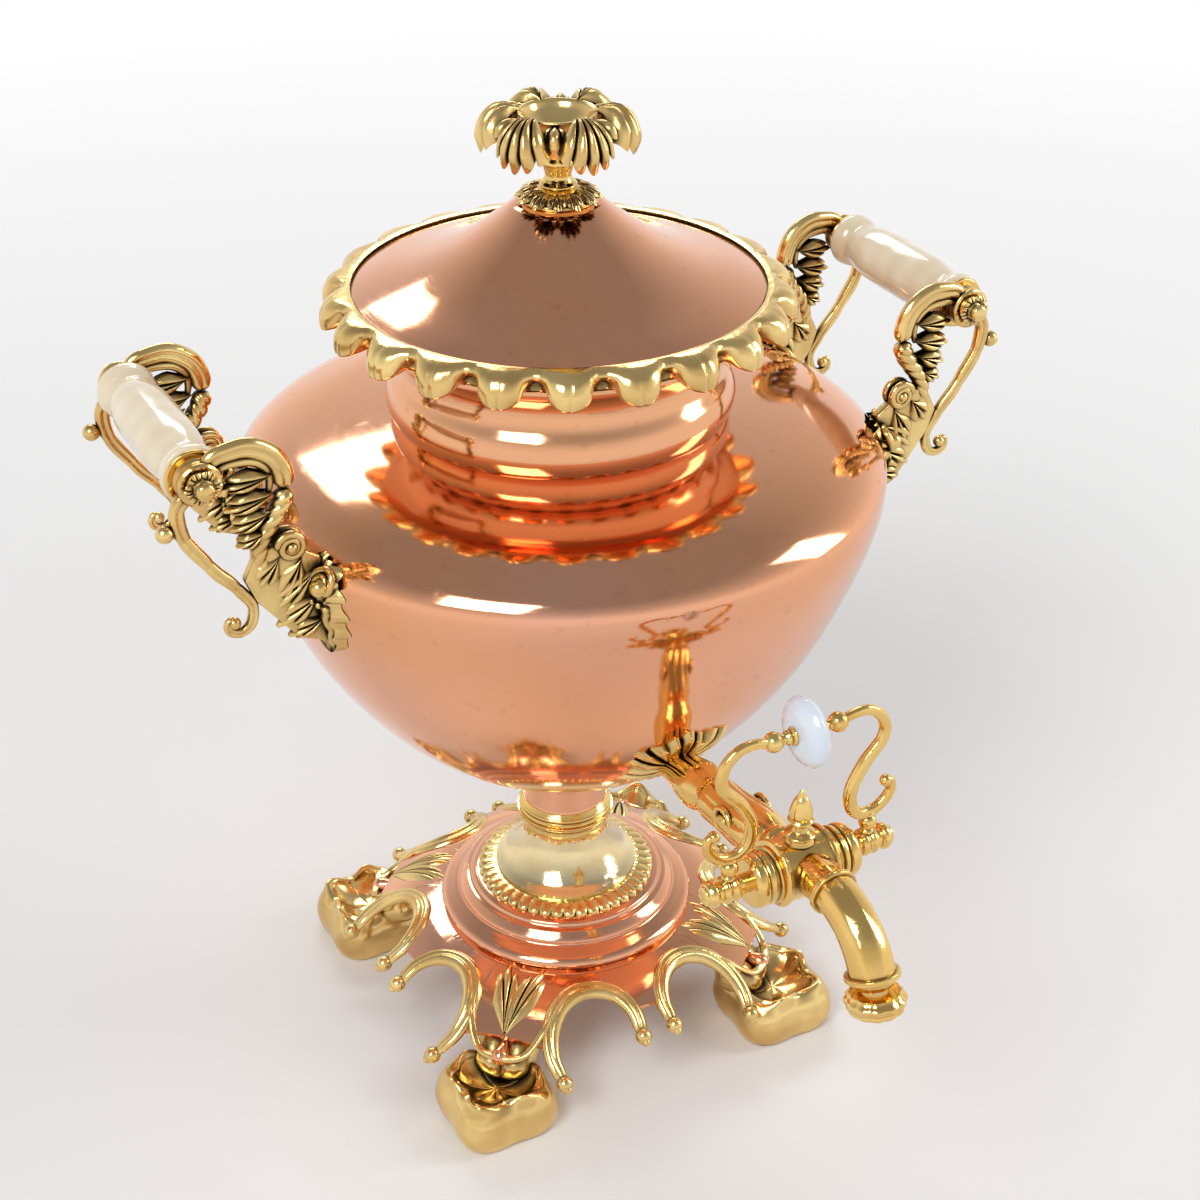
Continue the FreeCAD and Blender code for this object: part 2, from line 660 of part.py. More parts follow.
def front_leaf():
    """The leaf plate of a bracket, curved to lie on the bowl."""
    y0 = GRIP_HALF + 1.5 + BRACKET_T / 2
    z1, z0 = LEAF_PLATE_TOP, LEAF_PLATE_TIP
    w = LEAF_PLATE_HALF_W
    half = [(0.0, z1), (0.55 * w, z1 + 1.0), (0.95 * w, z1 - 8), (w, z1 - 18), (0.72 * w, z1 - 32),
            (0.35 * w, z0 + 6), (0.0, z0)]
    right = [V(60, y0 + a, z) for a, z in half]
    left = [V(60, y0 - a, z) for a, z in half[::-1]]
    outline = Part.Wire([edge(right), edge(left)])
    prism = Part.Face(outline).extrude(V(100, 0, 0))
    return prism.common(bowl_block(LEAF_PLATE_T)).cut(bowl_block())


def bracket():
    """A handle bracket: leaf plate, web, volute, C-scroll up to the grip, and the outer strut."""
    y0 = GRIP_HALF + 1.5 + BRACKET_T / 2
    x, z = GRIP_X, GRIP_Z
    boss = Part.makeCylinder(BRACKET_BOSS_R, BRACKET_T, V(x, y0 - BRACKET_T / 2, z), Y)
    scroll = bent_rod([bracket_point(*p) for p in (
        (x - 2, z + 4), (x - 11, z + 8.5), (x - 21, z + 7.5), (x - 28, z + 0.5), (x - 29.5, z - 9),
        (x - 26, z - 18), (x - 19.5, z - 27), (x - 19, z - 37))], SCROLL_BAR_R, SCROLL_BAR_R, SCROLL_BAR_R)
    strut = bent_rod([bracket_point(*p) for p in (
        (x + 4, z - 3), (x + 8.5, z - 12), (x + 5, z - 24), (x - 3, z - 36), (x - 11, z - 46),
        (x - 14.5, z - 54), (x - 11.5, z - 61.5), (x - 5.5, z - 61))], STRUT_R, STRUT_R, 3.4)
    web_line = [(-27, -29), (-17, -31), (-11.5, -41), (-15.5, -50), (-30, -70), (-45, -78), (-50, -60), (-44, -34)]
    corners = [V(x + a, y0 - 0.32 * BRACKET_T, z + b) for a, b in web_line]
    web = Part.Face(Part.makePolygon(corners + corners[:1])).extrude(V(0, 0.64 * BRACKET_T, 0))
    volute = Part.makeCylinder(VOLUTE_R, BRACKET_T + 2, V(x - 29.5, y0 - BRACKET_T / 2 - 1, z - 31.5), Y)
    volute = volute.makeFillet(1.5, volute.Edges[:1] + volute.Edges[2:])
    knob = Part.makeSphere(3.2, V(*bracket_point(x + 13.5, z - 16.5)))
    stem_start = V(*bracket_point(x + 5.5, z - 14.5))
    stem_line = V(8, 0, -2)
    knob = knob.fuse(Part.makeCylinder(1.8, stem_line.Length, stem_start, stem_line))
    body = fused([front_leaf(), web, boss, scroll, strut, volute, knob])
    body = body.cut(bowl_block())
    body = body.cut(Part.makeCylinder(GRIP_ROD_R + ROD_FIT, 60, V(x, y0 - 30, z), Y))
    for hole in rivet_places():
        body = body.cut(Part.makeCylinder(RIVET_R + 0.02, 40, V(90, hole.y, hole.z), X))
    return body


def rivet_places():
    y0 = GRIP_HALF + 1.5 + BRACKET_T / 2
    return [V(0, y0 - 0.62 * LEAF_PLATE_HALF_W, LEAF_PLATE_TOP - RIVET_DOWN),
            V(0, y0 + 0.62 * LEAF_PLATE_HALF_W, LEAF_PLATE_TOP - RIVET_DOWN)]


def bowl_radius(z, grow):
    """The bowl's radius at a height, read from its outline grown by a thickness."""
    runs = in_arcs([V(r, 0, h) for r, h in offset(bowl_outline(), -grow)])
    points = [p for run in runs for p in edge(run).discretize(120)]
    for a, b in zip(points, points[1:]):
        if (a.z - z) * (b.z - z) <= 0 and a.z != b.z:
            return a.x + (b.x - a.x) * (z - a.z) / (b.z - a.z)


def surface_x(y, z, grow):
    """Where a line along X at this y and z meets the bowl, or the bowl grown by a thickness."""
    return math.sqrt(bowl_radius(z, grow) ** 2 - y ** 2)


def rivet(place):
    """A rivet through the leaf plate, the bowl and the pad inside it."""
    outer = surface_x(place.y, place.z, LEAF_PLATE_T)
    inner = surface_x(abs(place.y) + 2 * RIVET_R, place.z - 2 * RIVET_R, -BOWL_WALL - PAD_T - PAD_GAP)
    shank = Part.makeCylinder(RIVET_R, outer - inner + 2.8, V(inner - 2.2, place.y, place.z), X)
    tail = Part.makeCylinder(1.5 * RIVET_R, 1.4, V(inner - 2.2, place.y, place.z), X)
    slope_y = surface_x(place.y + 1, place.z, LEAF_PLATE_T) - outer
    slope_z = surface_x(place.y, place.z + 1, LEAF_PLATE_T) - outer
    outwards = V(1, -slope_y, -slope_z).normalize()
    head = Part.makeSphere(1.7 * RIVET_R, V(outer, place.y, place.z) + outwards * RUN_FIT, outwards, 0, 90, 360)
    return fused([shank, tail, head])


def backing_pad():
    y0 = GRIP_HALF + 1.5 + BRACKET_T / 2
    z0 = LEAF_PLATE_TOP - RIVET_DOWN
    prism = Part.makeBox(60, 2 * LEAF_PLATE_HALF_W, 10, V(80, y0 - LEAF_PLATE_HALF_W, z0 - 5))
    pad = prism.common(bowl_block(-BOWL_WALL - PAD_GAP)).cut(bowl_block(-BOWL_WALL - PAD_T))
    for hole in rivet_places():
        pad = pad.cut(Part.makeCylinder(RIVET_R + 0.02, 60, V(80, hole.y, hole.z), X))
    return pad


def grip():
    """A turned ceramic grip along Y, with a collar at each end and a swelling middle."""
    h, r, n, c = GRIP_HALF, GRIP_R, GRIP_NECK_R, GRIP_COLLAR
    hole = GRIP_ROD_R + ROD_FIT
    half = [[(hole, -h), (r - 1.8, -h)],
            [(r - 1.8, -h), (r - 0.2, -h + 1.6), (r - 0.2, -h + c - 1.4), (n + 0.4, -h + c + 1)],
            [(n + 0.4, -h + c + 1), (n, -h + c + 3.2), (n + 1.3, -h + c + 9), (r - 0.1, -h + 0.62 * h),
             (r, 0), (r - 0.1, h - 0.62 * h), (n + 1.3, h - c - 9), (n, h - c - 3.2), (n + 0.4, h - c - 1)],
            [(n + 0.4, h - c - 1), (r - 0.2, h - c + 1.4), (r - 0.2, h - 1.6), (r - 1.8, h)],
            [(r - 1.8, h), (hole, h)]]
    return aimed(turned(*half), V(GRIP_X, 0, GRIP_Z), Y)


def grip_ferrules():
    """Thin brass washers between the grip's ends and the brackets."""
    out = []
    for s in (-1, 1):
        washer = turned([(GRIP_ROD_R + ROD_FIT, 0), (GRIP_R - 1.6, 0)], [(GRIP_R - 1.6, 0), (GRIP_R - 1.0, 0.7),
                        (GRIP_R - 1.6, 1.4)], [(GRIP_R - 1.6, 1.4), (GRIP_ROD_R + ROD_FIT, 1.4)])
        out.append(aimed(washer, V(GRIP_X, s * (GRIP_HALF + 0.05), GRIP_Z), V(0, s, 0)))
    return out


def grip_rod():
    half = GRIP_HALF + 1.5 + BRACKET_T + 0.7 * ROSETTE_NUT_H
    return Part.makeCylinder(GRIP_ROD_R, 2 * half, V(GRIP_X, -half, GRIP_Z), Y)


def rosette_nuts():
    """A flower-shaped nut with a ball centre on each end of the grip's rod."""
    out = []
    r, h = ROSETTE_NUT_R, ROSETTE_NUT_H
    core = turned([(0, 0), (0.72 * r, 0)], [(0.72 * r, 0), (0.72 * r, 0.2 * h)],
                  [(0.72 * r, 0.2 * h), (0.5 * r, 0.32 * h), (0.42 * r, 0.42 * h), (0.5 * r, 0.62 * h),
                   (0.36 * r, 0.88 * h), (0, h)])
    petal = Part.makeCone(0.34 * r, 0.26 * r, 0.5 * h, V(0.66 * r, 0, 0))
    for s in (-1, 1):
        nut = core.multiFuse([spun(petal, 60 * k) for k in range(6)])
        nut = nut.cut(Part.makeCylinder(GRIP_ROD_R + 0.02, 0.71 * ROSETTE_NUT_H))
        out.append(aimed(nut, V(GRIP_X, s * (GRIP_HALF + 1.5 + BRACKET_T), GRIP_Z), V(0, s, 0)))
    return out


PIPE_START = V(0, PIPE_Y, PIPE_Z)
BARREL_AT = V(0, TAP_Y, TAP_Z)
PIPE_LINE = BARREL_AT - PIPE_START
PIPE_DIR = V(PIPE_LINE).normalize()


def escutcheon():
    """The leaf plate round the tail of the tap, curved to lie on the bowl."""
    w = ESCUTCHEON_HALF_W
    low, high = PIPE_Z - 12, PIPE_Z + 22
    half = [(0.0, high - 2), (0.45 * w, high - 3), (w, high + 3), (0.92 * w, high - 12), (0.6 * w, low + 8),
            (0.25 * w, low + 4), (0.0, low)]
    right = [V(a, -20, z) for a, z in half]
    left = [V(-a, -20, z) for a, z in half[::-1]]
    prism = Part.Face(Part.Wire([edge(right), edge(left)])).extrude(V(0, -160, 0))
    plate = prism.common(bowl_block(ESCUTCHEON_T)).cut(bowl_block())
    return plate.cut(Part.makeCylinder(TAIL_R + ROD_FIT, 60, PIPE_START - PIPE_DIR * 30, PIPE_DIR))


def spout_sections(radii):
    a, b = V(0, TAP_Y - 0.3 * BARREL_R, TAP_Z + 1.2), V(0, NOZZLE_Y, NOZZLE_Z)
    path = [(0.0, 0.0, V(0, -1, 0.12)), (0.27, 0.03, V(0, -1, 0.02)), (0.52, 0.02, V(0, -1, -0.28)),
            (0.74, 0.26, V(0, -1, -0.8)), (0.91, 0.62, V(0, -0.55, -1)), (1.0, 1.0, V(0, -0.22, -1))]
    wires = []
    for (out, down, heading), radius in zip(path, radii):
        at = V(0, a.y + (b.y - a.y) * out, a.z + (b.z - a.z) * down)
        wires.append(Part.Wire(Part.makeCircle(radius, at, heading)))
    return wires


def tap_body():
    """The tail, pipe, cross barrel and spout, with the waterway and the plug's bore."""
    barrel = Part.makeCylinder(BARREL_R, 2 * BARREL_HALF, V(-BARREL_HALF, TAP_Y, TAP_Z), X)
    length = PIPE_LINE.Length
    r = PIPE_R
    pipe = turned([(0, 0), (0.72 * r, 0)], [(0.72 * r, 0), (0.74 * r, 0.12 * length), (1.1 * r, 0.26 * length),
                  (0.85 * r, 0.36 * length), (0.9 * r, 0.55 * length), (r, 0.75 * length), (0.9 * r, length)],
                  [(0.9 * r, length), (0, length)])
    pipe = aimed(pipe, PIPE_START, PIPE_DIR)
    spout = Part.makeLoft(spout_sections([0.9 * SPOUT_R, SPOUT_R, 0.98 * SPOUT_R, SPOUT_R, 1.07 * SPOUT_R,
                                          1.15 * SPOUT_R]), True)
    acorn_seat = Part.makeCylinder(0.9 * ACORN_R, BARREL_R + 1.2, BARREL_AT, Z)
    body = fused([barrel, pipe, spout, acorn_seat])
    body = body.cut(bowl_block(ESCUTCHEON_T))
    tail = Part.makeCylinder(TAIL_R, TAIL_LEN + 30, PIPE_START - PIPE_DIR * TAIL_LEN, PIPE_DIR)
    body = fused([body, tail])
    bore = Part.makeCylinder(PIPE_BORE, length + TAIL_LEN, PIPE_START - PIPE_DIR * TAIL_LEN, PIPE_DIR)
    waterway = Part.makeLoft(spout_sections([0.9 * PIPE_BORE] + [SPOUT_BORE] * 5), True)
    body = body.cut(bore).cut(waterway)
    body = body.cut(Part.makeCylinder(PLUG_R + RUN_FIT, 2 * BARREL_HALF, V(-BARREL_HALF, TAP_Y, TAP_Z), X))
    return body.cut(Part.makeCylinder(ACORN_BOLT_R, 6, BARREL_AT + V(0, 0, BARREL_R - 3.5)))


def acorn():
    b = BARREL_R + 1.2
    r, h = ACORN_R, ACORN_H
    body = turned([(0, 0), (r + 0.6, 0)], [(r + 0.6, 0), (r + 0.8, 0.8), (r - 1.4, 2.2)],
                  [(r - 1.4, 2.2), (r - 2.2, 4.2), (r - 0.6, 5.4)], [(r - 0.6, 5.4), (r, 6.4), (r - 0.7, 7.3)],
                  [(r - 0.7, 7.3), (r - 0.5, 9.5), (0.62 * r, 14), (0.3 * r, h - 2.6), (0.22 * r, h - 1.4),
                   (0, h)])
    bolt = Part.makeCylinder(ACORN_BOLT_R, 3.5, V(0, 0, -3.5))
    return aimed(body.fuse(bolt), BARREL_AT + V(0, 0, b), Z)


def nozzle_ring():
    """The flared lip on the end of the spout."""
    r, h, hole = NOZZLE_R, NOZZLE_H, SPOUT_BORE
    body = turned([(hole, 0), (1.15 * SPOUT_R, 0)], [(1.15 * SPOUT_R, 0), (r - 1.2, 1.2), (r, 2.9), (r - 0.5, 4.6)],
                  [(r - 0.5, 4.6), (r - 1.6, h)], [(r - 1.6, h), (hole + 1.4, h)],
                  [(hole + 1.4, h), (hole, 1.5), (hole, 0)])
    return aimed(body, V(0, NOZZLE_Y, NOZZLE_Z), V(0, -0.22, -1).normalize())


def gland(side):
    body = turned([(SPINDLE_R + RUN_FIT, 0), (GLAND_R - 0.8, 0)], [(GLAND_R - 0.8, 0), (GLAND_R + 0.5, 0.9),
                  (GLAND_R - 0.8, 1.8)], [(GLAND_R - 0.8, 1.8), (GLAND_R - 0.8, 2.4)],
                  [(GLAND_R - 0.8, 2.4), (GLAND_R, 3.0)], [(GLAND_R, 3.0), (GLAND_R, GLAND_W - 1.2)],
                  [(GLAND_R, GLAND_W - 1.2), (GLAND_R - 1.2, GLAND_W)],
                  [(GLAND_R - 1.2, GLAND_W), (SPINDLE_R + RUN_FIT, GLAND_W)])
    return aimed(body, V(side * BARREL_HALF, TAP_Y, TAP_Z), V(side, 0, 0))


def tail_washer():
    return tail_stack(3.2, 5.2, 1.4 * TAIL_R)


def tail_nut():
    nut = hex_nut(2.5 * TAIL_R, TAIL_R + 0.02, 0, 5.0)
    return aimed(nut, PIPE_START - PIPE_DIR * (TAIL_LEN - 0.3), PIPE_DIR)


def tail_stack(near, far, radius):
    disc = Part.makeCylinder(radius, far - near, V(0, 0, near)).cut(
        Part.makeCylinder(TAIL_R + 0.02, far - near, V(0, 0, near)))
    return aimed(disc, PIPE_START - PIPE_DIR * (TAIL_LEN - 2.1), PIPE_DIR)


def tail_saddle():
    """A pad inside the bowl that gives the tail's nut a flat seat."""
    block = Part.makeCylinder(2.1 * TAIL_R, 26, PIPE_START - PIPE_DIR * (TAIL_LEN - 7.3), PIPE_DIR)
    block = block.common(bowl_block(-BOWL_WALL - PAD_GAP))
    return block.cut(Part.makeCylinder(TAIL_R + 0.02, 80, PIPE_START - PIPE_DIR * 40, PIPE_DIR))


def tap_plug():
    """The plug that turns in the barrel, with its spindle ends and a port that lines up when open."""
    core = Part.makeCylinder(PLUG_R, 2 * BARREL_HALF - 0.2, V(-BARREL_HALF + 0.1, TAP_Y, TAP_Z), X)
    spindle = Part.makeCylinder(SPINDLE_R, 2 * SPINDLE_HALF, V(-SPINDLE_HALF, TAP_Y, TAP_Z), X)
    turn = math.radians(-OPEN_ANGLE)
    across = V(0, math.cos(turn), math.sin(turn))
    port = Part.makeCylinder(PORT_R, 4 * PLUG_R, BARREL_AT - across * (2 * PLUG_R), across)
    return core.fuse(spindle).cut(port)


def key_knobs():
    out = []
    for s in (-1, 1):
        knob = turned([(0, 0), (KNOB_R - 0.8, 0)], [(KNOB_R - 0.8, 0), (KNOB_R, 1.0), (KNOB_R, 2.6), (KNOB_R - 1, 4.2),
                      (0.35 * KNOB_R, KNOB_W), (0, KNOB_W + 0.6)])
        out.append(aimed(knob, V(s * SPINDLE_HALF, TAP_Y, TAP_Z), V(s, 0, 0)))
    return out


def key_arm(side):
    """An S-scroll arm from the spindle up to the disc's crossbar."""
    line = [(BALL_X, 0), (20.5, 1.4), (28.5, -1.5), (32.5, -8.5), (28.5, -16), (22.5, -25), (19.6, -34.5),
            (22.5, -41.5), (29, -42.5), (34.5, -39.5), (37.0, -32.5)]
    points = [(side * x, TAP_Y, DISC_Z + dz) for x, dz in line]
    arm = bent_rod(points, ARM_R, 0, 1.15 * ARM_R)
    boss_z = TAP_Z + 8.8
    boss = Part.makeSphere(ARM_BOSS_R, V(side * ARM_BOSS_X, TAP_Y, boss_z))
    collar = Part.makeCylinder(SPINDLE_R + 1.3, 6.4, V(side * ARM_BOSS_X - 3.2, TAP_Y, TAP_Z), X)
    post = Part.makeCylinder(1.9, DISC_Z - 43 - TAP_Z, V(side * ARM_BOSS_X, TAP_Y, TAP_Z), Z)
    ball = Part.makeSphere(BALL_R, V(side * BALL_X, TAP_Y, DISC_Z))
    body = fused([arm, boss, collar, post, ball])
    body = body.cut(Part.makeCylinder(SPINDLE_R, 2 * SPINDLE_HALF, V(-SPINDLE_HALF, TAP_Y, TAP_Z), X))
    return body.cut(key_bar_blank())


def key_bar_blank():
    return Part.makeCylinder(BAR_R, 2 * BALL_X, V(-BALL_X, TAP_Y, DISC_Z), X)


def key_bar():
    """The bar through the disc, with a bead on each side of it."""
    bead_x = 0.5 * (DISC_HALF_T + BALL_X - BALL_R) + 0.6
    face_x = DISC_HALF_T + 0.02
    beads = []
    for s in (-1, 1):
        bead = Part.makeSphere(BEAD_R, V(s * bead_x, TAP_Y, DISC_Z))
        clear = Part.makeBox(2 * face_x, 20, 20, V(-face_x, TAP_Y - 10, DISC_Z - 10))
        beads.append(bead.cut(clear))
    return fused([key_bar_blank()] + beads)


def key_disc_blank():
    r, t = DISC_R, DISC_HALF_T
    disc = turned([(0, -t), (0.45 * r, -t)], [(0.45 * r, -t), (0.85 * r, -0.7 * t), (r, 0), (0.85 * r, 0.7 * t),
                  (0.45 * r, t)], [(0.45 * r, t), (0, t)])
    return aimed(disc, V(0, TAP_Y, DISC_Z), X)


def key_disc():
    hole = Part.makeCylinder(BAR_R, 4 * DISC_HALF_T, V(-2 * DISC_HALF_T, TAP_Y, DISC_Z), X)
    return key_disc_blank().cut(hole)


def largest(shape):
    return max(shape.Solids, key=lambda solid: solid.Volume)


def build():
    parts = {}
    scrolls = scroll_borders()
    plate = largest(base_plate().cut(Part.makeCompound(scrolls)))
    parts["base_plate"] = plate
    parts["scroll_borders"] = scrolls
    foot = plain_foot()
    for k, name in enumerate(("rear_right", "rear_left", "front_left", "front_right")):
        blank = spun(foot, 45 + 90 * k)
        parts["foot_" + name] = blank.cut(Part.makeCompound(scrolls))
    drop = pear_drop().cut(foot)
    parts["pear_drops"] = [spun(drop, 45 + 90 * k).cut(plate) for k in range(4)]
    parts["ring_moulding"] = ring_moulding()
    parts["bead_band"] = bead_band()
    parts["bell_foot"] = bell_foot()
    parts["stem_knop"] = stem_knop()
    parts["stem_tube"] = stem_tube()
    under = BASE_TOP_Z - BASE_SHEET
    rod_low = under - TIE_WASHER_T - TIE_NUT_H - 1.5
    rod_high = BOSS_Z + 0.7 * BOSS_H - 0.5
    parts["tie_rod"] = Part.makeCylinder(TIE_ROD_R, rod_high - rod_low, V(0, 0, rod_low))
    parts["tie_washer"] = ring(TIE_WASHER_R, TIE_ROD_R + ROD_FIT, under - TIE_WASHER_T, under)
    parts["tie_nut"] = hex_nut(2 * TIE_NUT_R, TIE_ROD_R + 0.02, under - TIE_WASHER_T - TIE_NUT_H, TIE_NUT_H)
    parts["bowl"] = bowl_with_holes()
    parts["bowl_boss"] = bowl_boss()
    parts["heater_sleeve"] = heater_sleeve()
    parts["heating_iron"] = heating_iron()
    parts["sleeve_cap"] = sleeve_cap()
    parts["neck_collar"] = neck_collar()
    parts["rim_gallery"] = rim_gallery()
    parts["lid_shell"] = lid_shell()
    parts["lid_flange"] = lid_flange()
    parts["finial_rosette"] = rosette()
    parts["finial_ferrule"] = ferrule()
    parts["finial_crown"] = finial_crown()
    stud_low = LID_TOP_Z - STUD_BELOW
    parts["finial_stud"] = Part.makeCylinder(STUD_R, FERRULE_TOP + 5.5 - stud_low, V(0, 0, stud_low))
    lid_under = LID_TOP_Z - LID_SHEET
    parts["finial_washer"] = ring(WASHER_R, STUD_R + ROD_FIT, lid_under - WASHER_T, lid_under)
    parts["finial_nut"] = hex_nut(NUT_FLATS, STUD_R + 0.02, lid_under - WASHER_T - NUT_H, NUT_H)
    front_bracket = mirrored(bracket(), Y)
    for side, name in ((1, "right"), (-1, "left")):
        def placed(shape):
            return shape if side > 0 else mirrored(shape, X)
        parts["handle_%s_front_bracket" % name] = placed(front_bracket)
        parts["handle_%s_rear_bracket" % name] = placed(mirrored(front_bracket, Y))
        parts["handle_%s_grip" % name] = placed(grip())
        parts["handle_%s_ferrules" % name] = [placed(s) for s in grip_ferrules()]
        parts["handle_%s_rod" % name] = placed(grip_rod())
        parts["handle_%s_nuts" % name] = [placed(s) for s in rosette_nuts()]
    parts["handle_rivets"] = [r for place in rivet_places() for r in four_ways(rivet(place))]
    parts["handle_pads"] = four_ways(backing_pad())
    parts["tap_escutcheon"] = escutcheon()
    parts["tap_body"] = tap_body()
    parts["tap_acorn"] = acorn()
    parts["tap_nozzle_ring"] = nozzle_ring()
    parts["tap_gland_right"] = gland(1)
    parts["tap_gland_left"] = gland(-1)
    parts["tap_saddle"] = tail_saddle()
    parts["tap_washer"] = tail_washer()
    parts["tap_nut"] = tail_nut()
    parts["tap_plug"] = tap_plug()
    parts["key_knobs"] = key_knobs()
    parts["key_arm_right"] = key_arm(1)
    parts["key_arm_left"] = key_arm(-1)
    parts["key_bar"] = key_bar()
    parts["key_disc"] = key_disc()
    return parts


def solids_of(shape):
    return [s for item in shape for s in item.Solids] if isinstance(shape, list) else shape.Solids


def main():
    os.makedirs("parts", exist_ok=True)
    for name, shape in build().items():
        solids = solids_of(shape)
        out = solids[0] if len(solids) == 1 else Part.makeCompound(solids)
        out.exportStep("parts/%s.step" % name)
        print("%-28s solids %2d  valid %s  volume %9.1f" % (name, len(solids), out.isValid(), out.Volume))


main()
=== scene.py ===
# %% [markdown]
# # A copper and brass samovar
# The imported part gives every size, joint and hidden piece. This script dresses it: it makes the
# turned skins, the swept scrolls and the cast leaves that are seen, and paints every piece.
# All shapes are worked out in millimetres and become metres when a mesh is finished.

# %% Load the frame
import math
import bmesh
import bpy
from mathutils import Matrix, Vector


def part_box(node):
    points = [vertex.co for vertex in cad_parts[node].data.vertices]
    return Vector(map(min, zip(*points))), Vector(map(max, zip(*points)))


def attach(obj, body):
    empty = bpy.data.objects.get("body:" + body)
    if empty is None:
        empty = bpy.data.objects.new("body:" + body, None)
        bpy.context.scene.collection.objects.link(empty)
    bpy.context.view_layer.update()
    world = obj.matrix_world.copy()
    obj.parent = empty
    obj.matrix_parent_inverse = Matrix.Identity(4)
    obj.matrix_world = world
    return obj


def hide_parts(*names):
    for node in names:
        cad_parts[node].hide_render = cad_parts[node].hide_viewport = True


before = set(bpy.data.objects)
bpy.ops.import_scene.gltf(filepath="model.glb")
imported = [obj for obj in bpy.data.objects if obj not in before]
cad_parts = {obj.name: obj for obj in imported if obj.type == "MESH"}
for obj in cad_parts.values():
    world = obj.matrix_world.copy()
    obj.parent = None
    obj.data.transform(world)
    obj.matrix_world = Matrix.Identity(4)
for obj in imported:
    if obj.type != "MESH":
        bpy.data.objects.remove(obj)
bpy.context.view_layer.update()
scene = bpy.context.scene
MM = 0.001
TURN = 2 * math.pi

# %% [markdown]
# ## Sizes shared with the frame
# Each skin has to lie where its solid is, so most heights and radii it needs are read from the
# boxes of the CAD nodes; the places of the grips, the tap and the key are written here.


# %% Read heights and reaches
def node_box(name):
    low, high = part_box(name)
    return low / MM, high / MM


def bottom(name):
    return node_box(name)[0].z


def top(name):
    return node_box(name)[1].z


def reach(name):
    return node_box(name)[1].x


BASE_Z = top("base_plate")
BAND_Z = bottom("bead_band")
BELL_Z = top("bead_band")
KNOP_Z = top("bell_foot")
STEM_Z = top("stem_knop")
BOWL_Z = bottom("bowl")
BOWL_R = reach("bowl")
MOUTH_Z = top("bowl")
WIDE_Z = MOUTH_Z - 27.0
RIM_Z = top("neck_collar")
GALLERY_Z = top("rim_gallery")
LID_R = reach("lid_shell")
LID_EDGE_Z = bottom("lid_shell")
LID_TOP_Z = top("lid_shell")
FERRULE_Z = top("finial_ferrule")
CROWN_Z = top("finial_crown")
GRIP_X = 157.0
GRIP_Z = 309.0
GRIP_HALF = 38.0
PLANE_Y = 43.0
TAP_Y = -178.0
TAP_Z = 184.5
DISC_Z = 240.0
print("bowl from %.1f to %.1f, radius %.1f mm" % (BOWL_Z, MOUTH_Z, BOWL_R))

# %% [markdown]
# ## Shader sums written as sums
# A finish is a small formula over the surface. Wrapping a socket in a class that knows +, - and
# * lets that formula be read as one line, and each sign adds its own Math node.


# %% Sockets that can be added and multiplied
class Value:
    def __init__(self, finish, socket):
        self.finish = finish
        self.socket = socket

    def sum_of(self, operation, first, second):
        return self.finish.node("Math", {"operation": operation}, {0: first, 1: second})

    def __add__(self, other):
        return self.sum_of("ADD", self, other)

    def __sub__(self, other):
        return self.sum_of("SUBTRACT", self, other)

    def __rsub__(self, other):
        return self.sum_of("SUBTRACT", other, self)

    def __mul__(self, other):
        return self.sum_of("MULTIPLY", self, other)

    __radd__ = __add__
    __rmul__ = __mul__


class Finish:
    """A material in the making. Fixed sockets are set at once, and paint() links what varies."""

    def __init__(self, name, **fixed):
        self.material = bpy.data.materials.new(name)
        self.material.use_nodes = True
        self.tree = self.material.node_tree
        self.shader = self.tree.nodes["Principled BSDF"]
        for socket, value in fixed.items():
            self.shader.inputs[socket.replace("_", " ")].default_value = value
        self.place = self.node("TexCoord", out="Object")

    def plug(self, socket, value):
        if isinstance(value, Value):
            self.tree.links.new(value.socket, socket)
        else:
            socket.default_value = value

    def node(self, kind, settings=None, sockets=None, out=0):
        made = self.tree.nodes.new("ShaderNode" + kind)
        for name, value in (settings or {}).items():
            setattr(made, name, value)
        for name, value in (sockets or {}).items():
            self.plug(made.inputs[name], value)
        return Value(self, made.outputs[out])

    def noise(self, scale, detail=3.0, stretch=(1, 1, 1)):
        place = self.node("Mapping", {}, {"Vector": self.place, "Scale": stretch})
        return self.node("TexNoise", {}, {"Vector": place, "Scale": scale, "Detail": detail})

    def between(self, value, low, high):
        """0 below low, 1 above high, and even steps between."""
        return self.node("MapRange", {}, {"Value": value, "From Min": low, "From Max": high})

    def mix(self, share, first, second):
        return self.node("Mix", {"data_type": "RGBA"}, {0: share, 6: first, 7: second}, out=2)

    def bump(self, height, strength, depth, under=None):
        sockets = {"Strength": strength, "Distance": depth, "Height": height}
        if under:
            sockets["Normal"] = under
        return self.node("Bump", {}, sockets)

    def hollow(self, depth):
        """0 in the open, rising to 1 in the hollows of this piece alone. The finishes darken their
        colour by it, which paints shade into the hollows.
        """
        light = self.node("AmbientOcclusion", {"only_local": True, "samples": 8},
                          {"Distance": depth}, out="AO")
        return 1 - light

    def paint(self, colour, roughness, normal=None):
        self.plug(self.shader.inputs["Base Color"], colour)
        self.plug(self.shader.inputs["Roughness"], roughness)
        if normal:
            self.plug(self.shader.inputs["Normal"], normal)
        return self.material


# %% [markdown]
# ## Copper
# The body is spun sheet, polished like a mirror. Old polish leaves warm clouds of tint, fine
# hairlines that run round the pot, and a skin that is never quite flat, so its reflections
# swim. A very low bump gives the swimming, and stretched noise gives the hairlines.


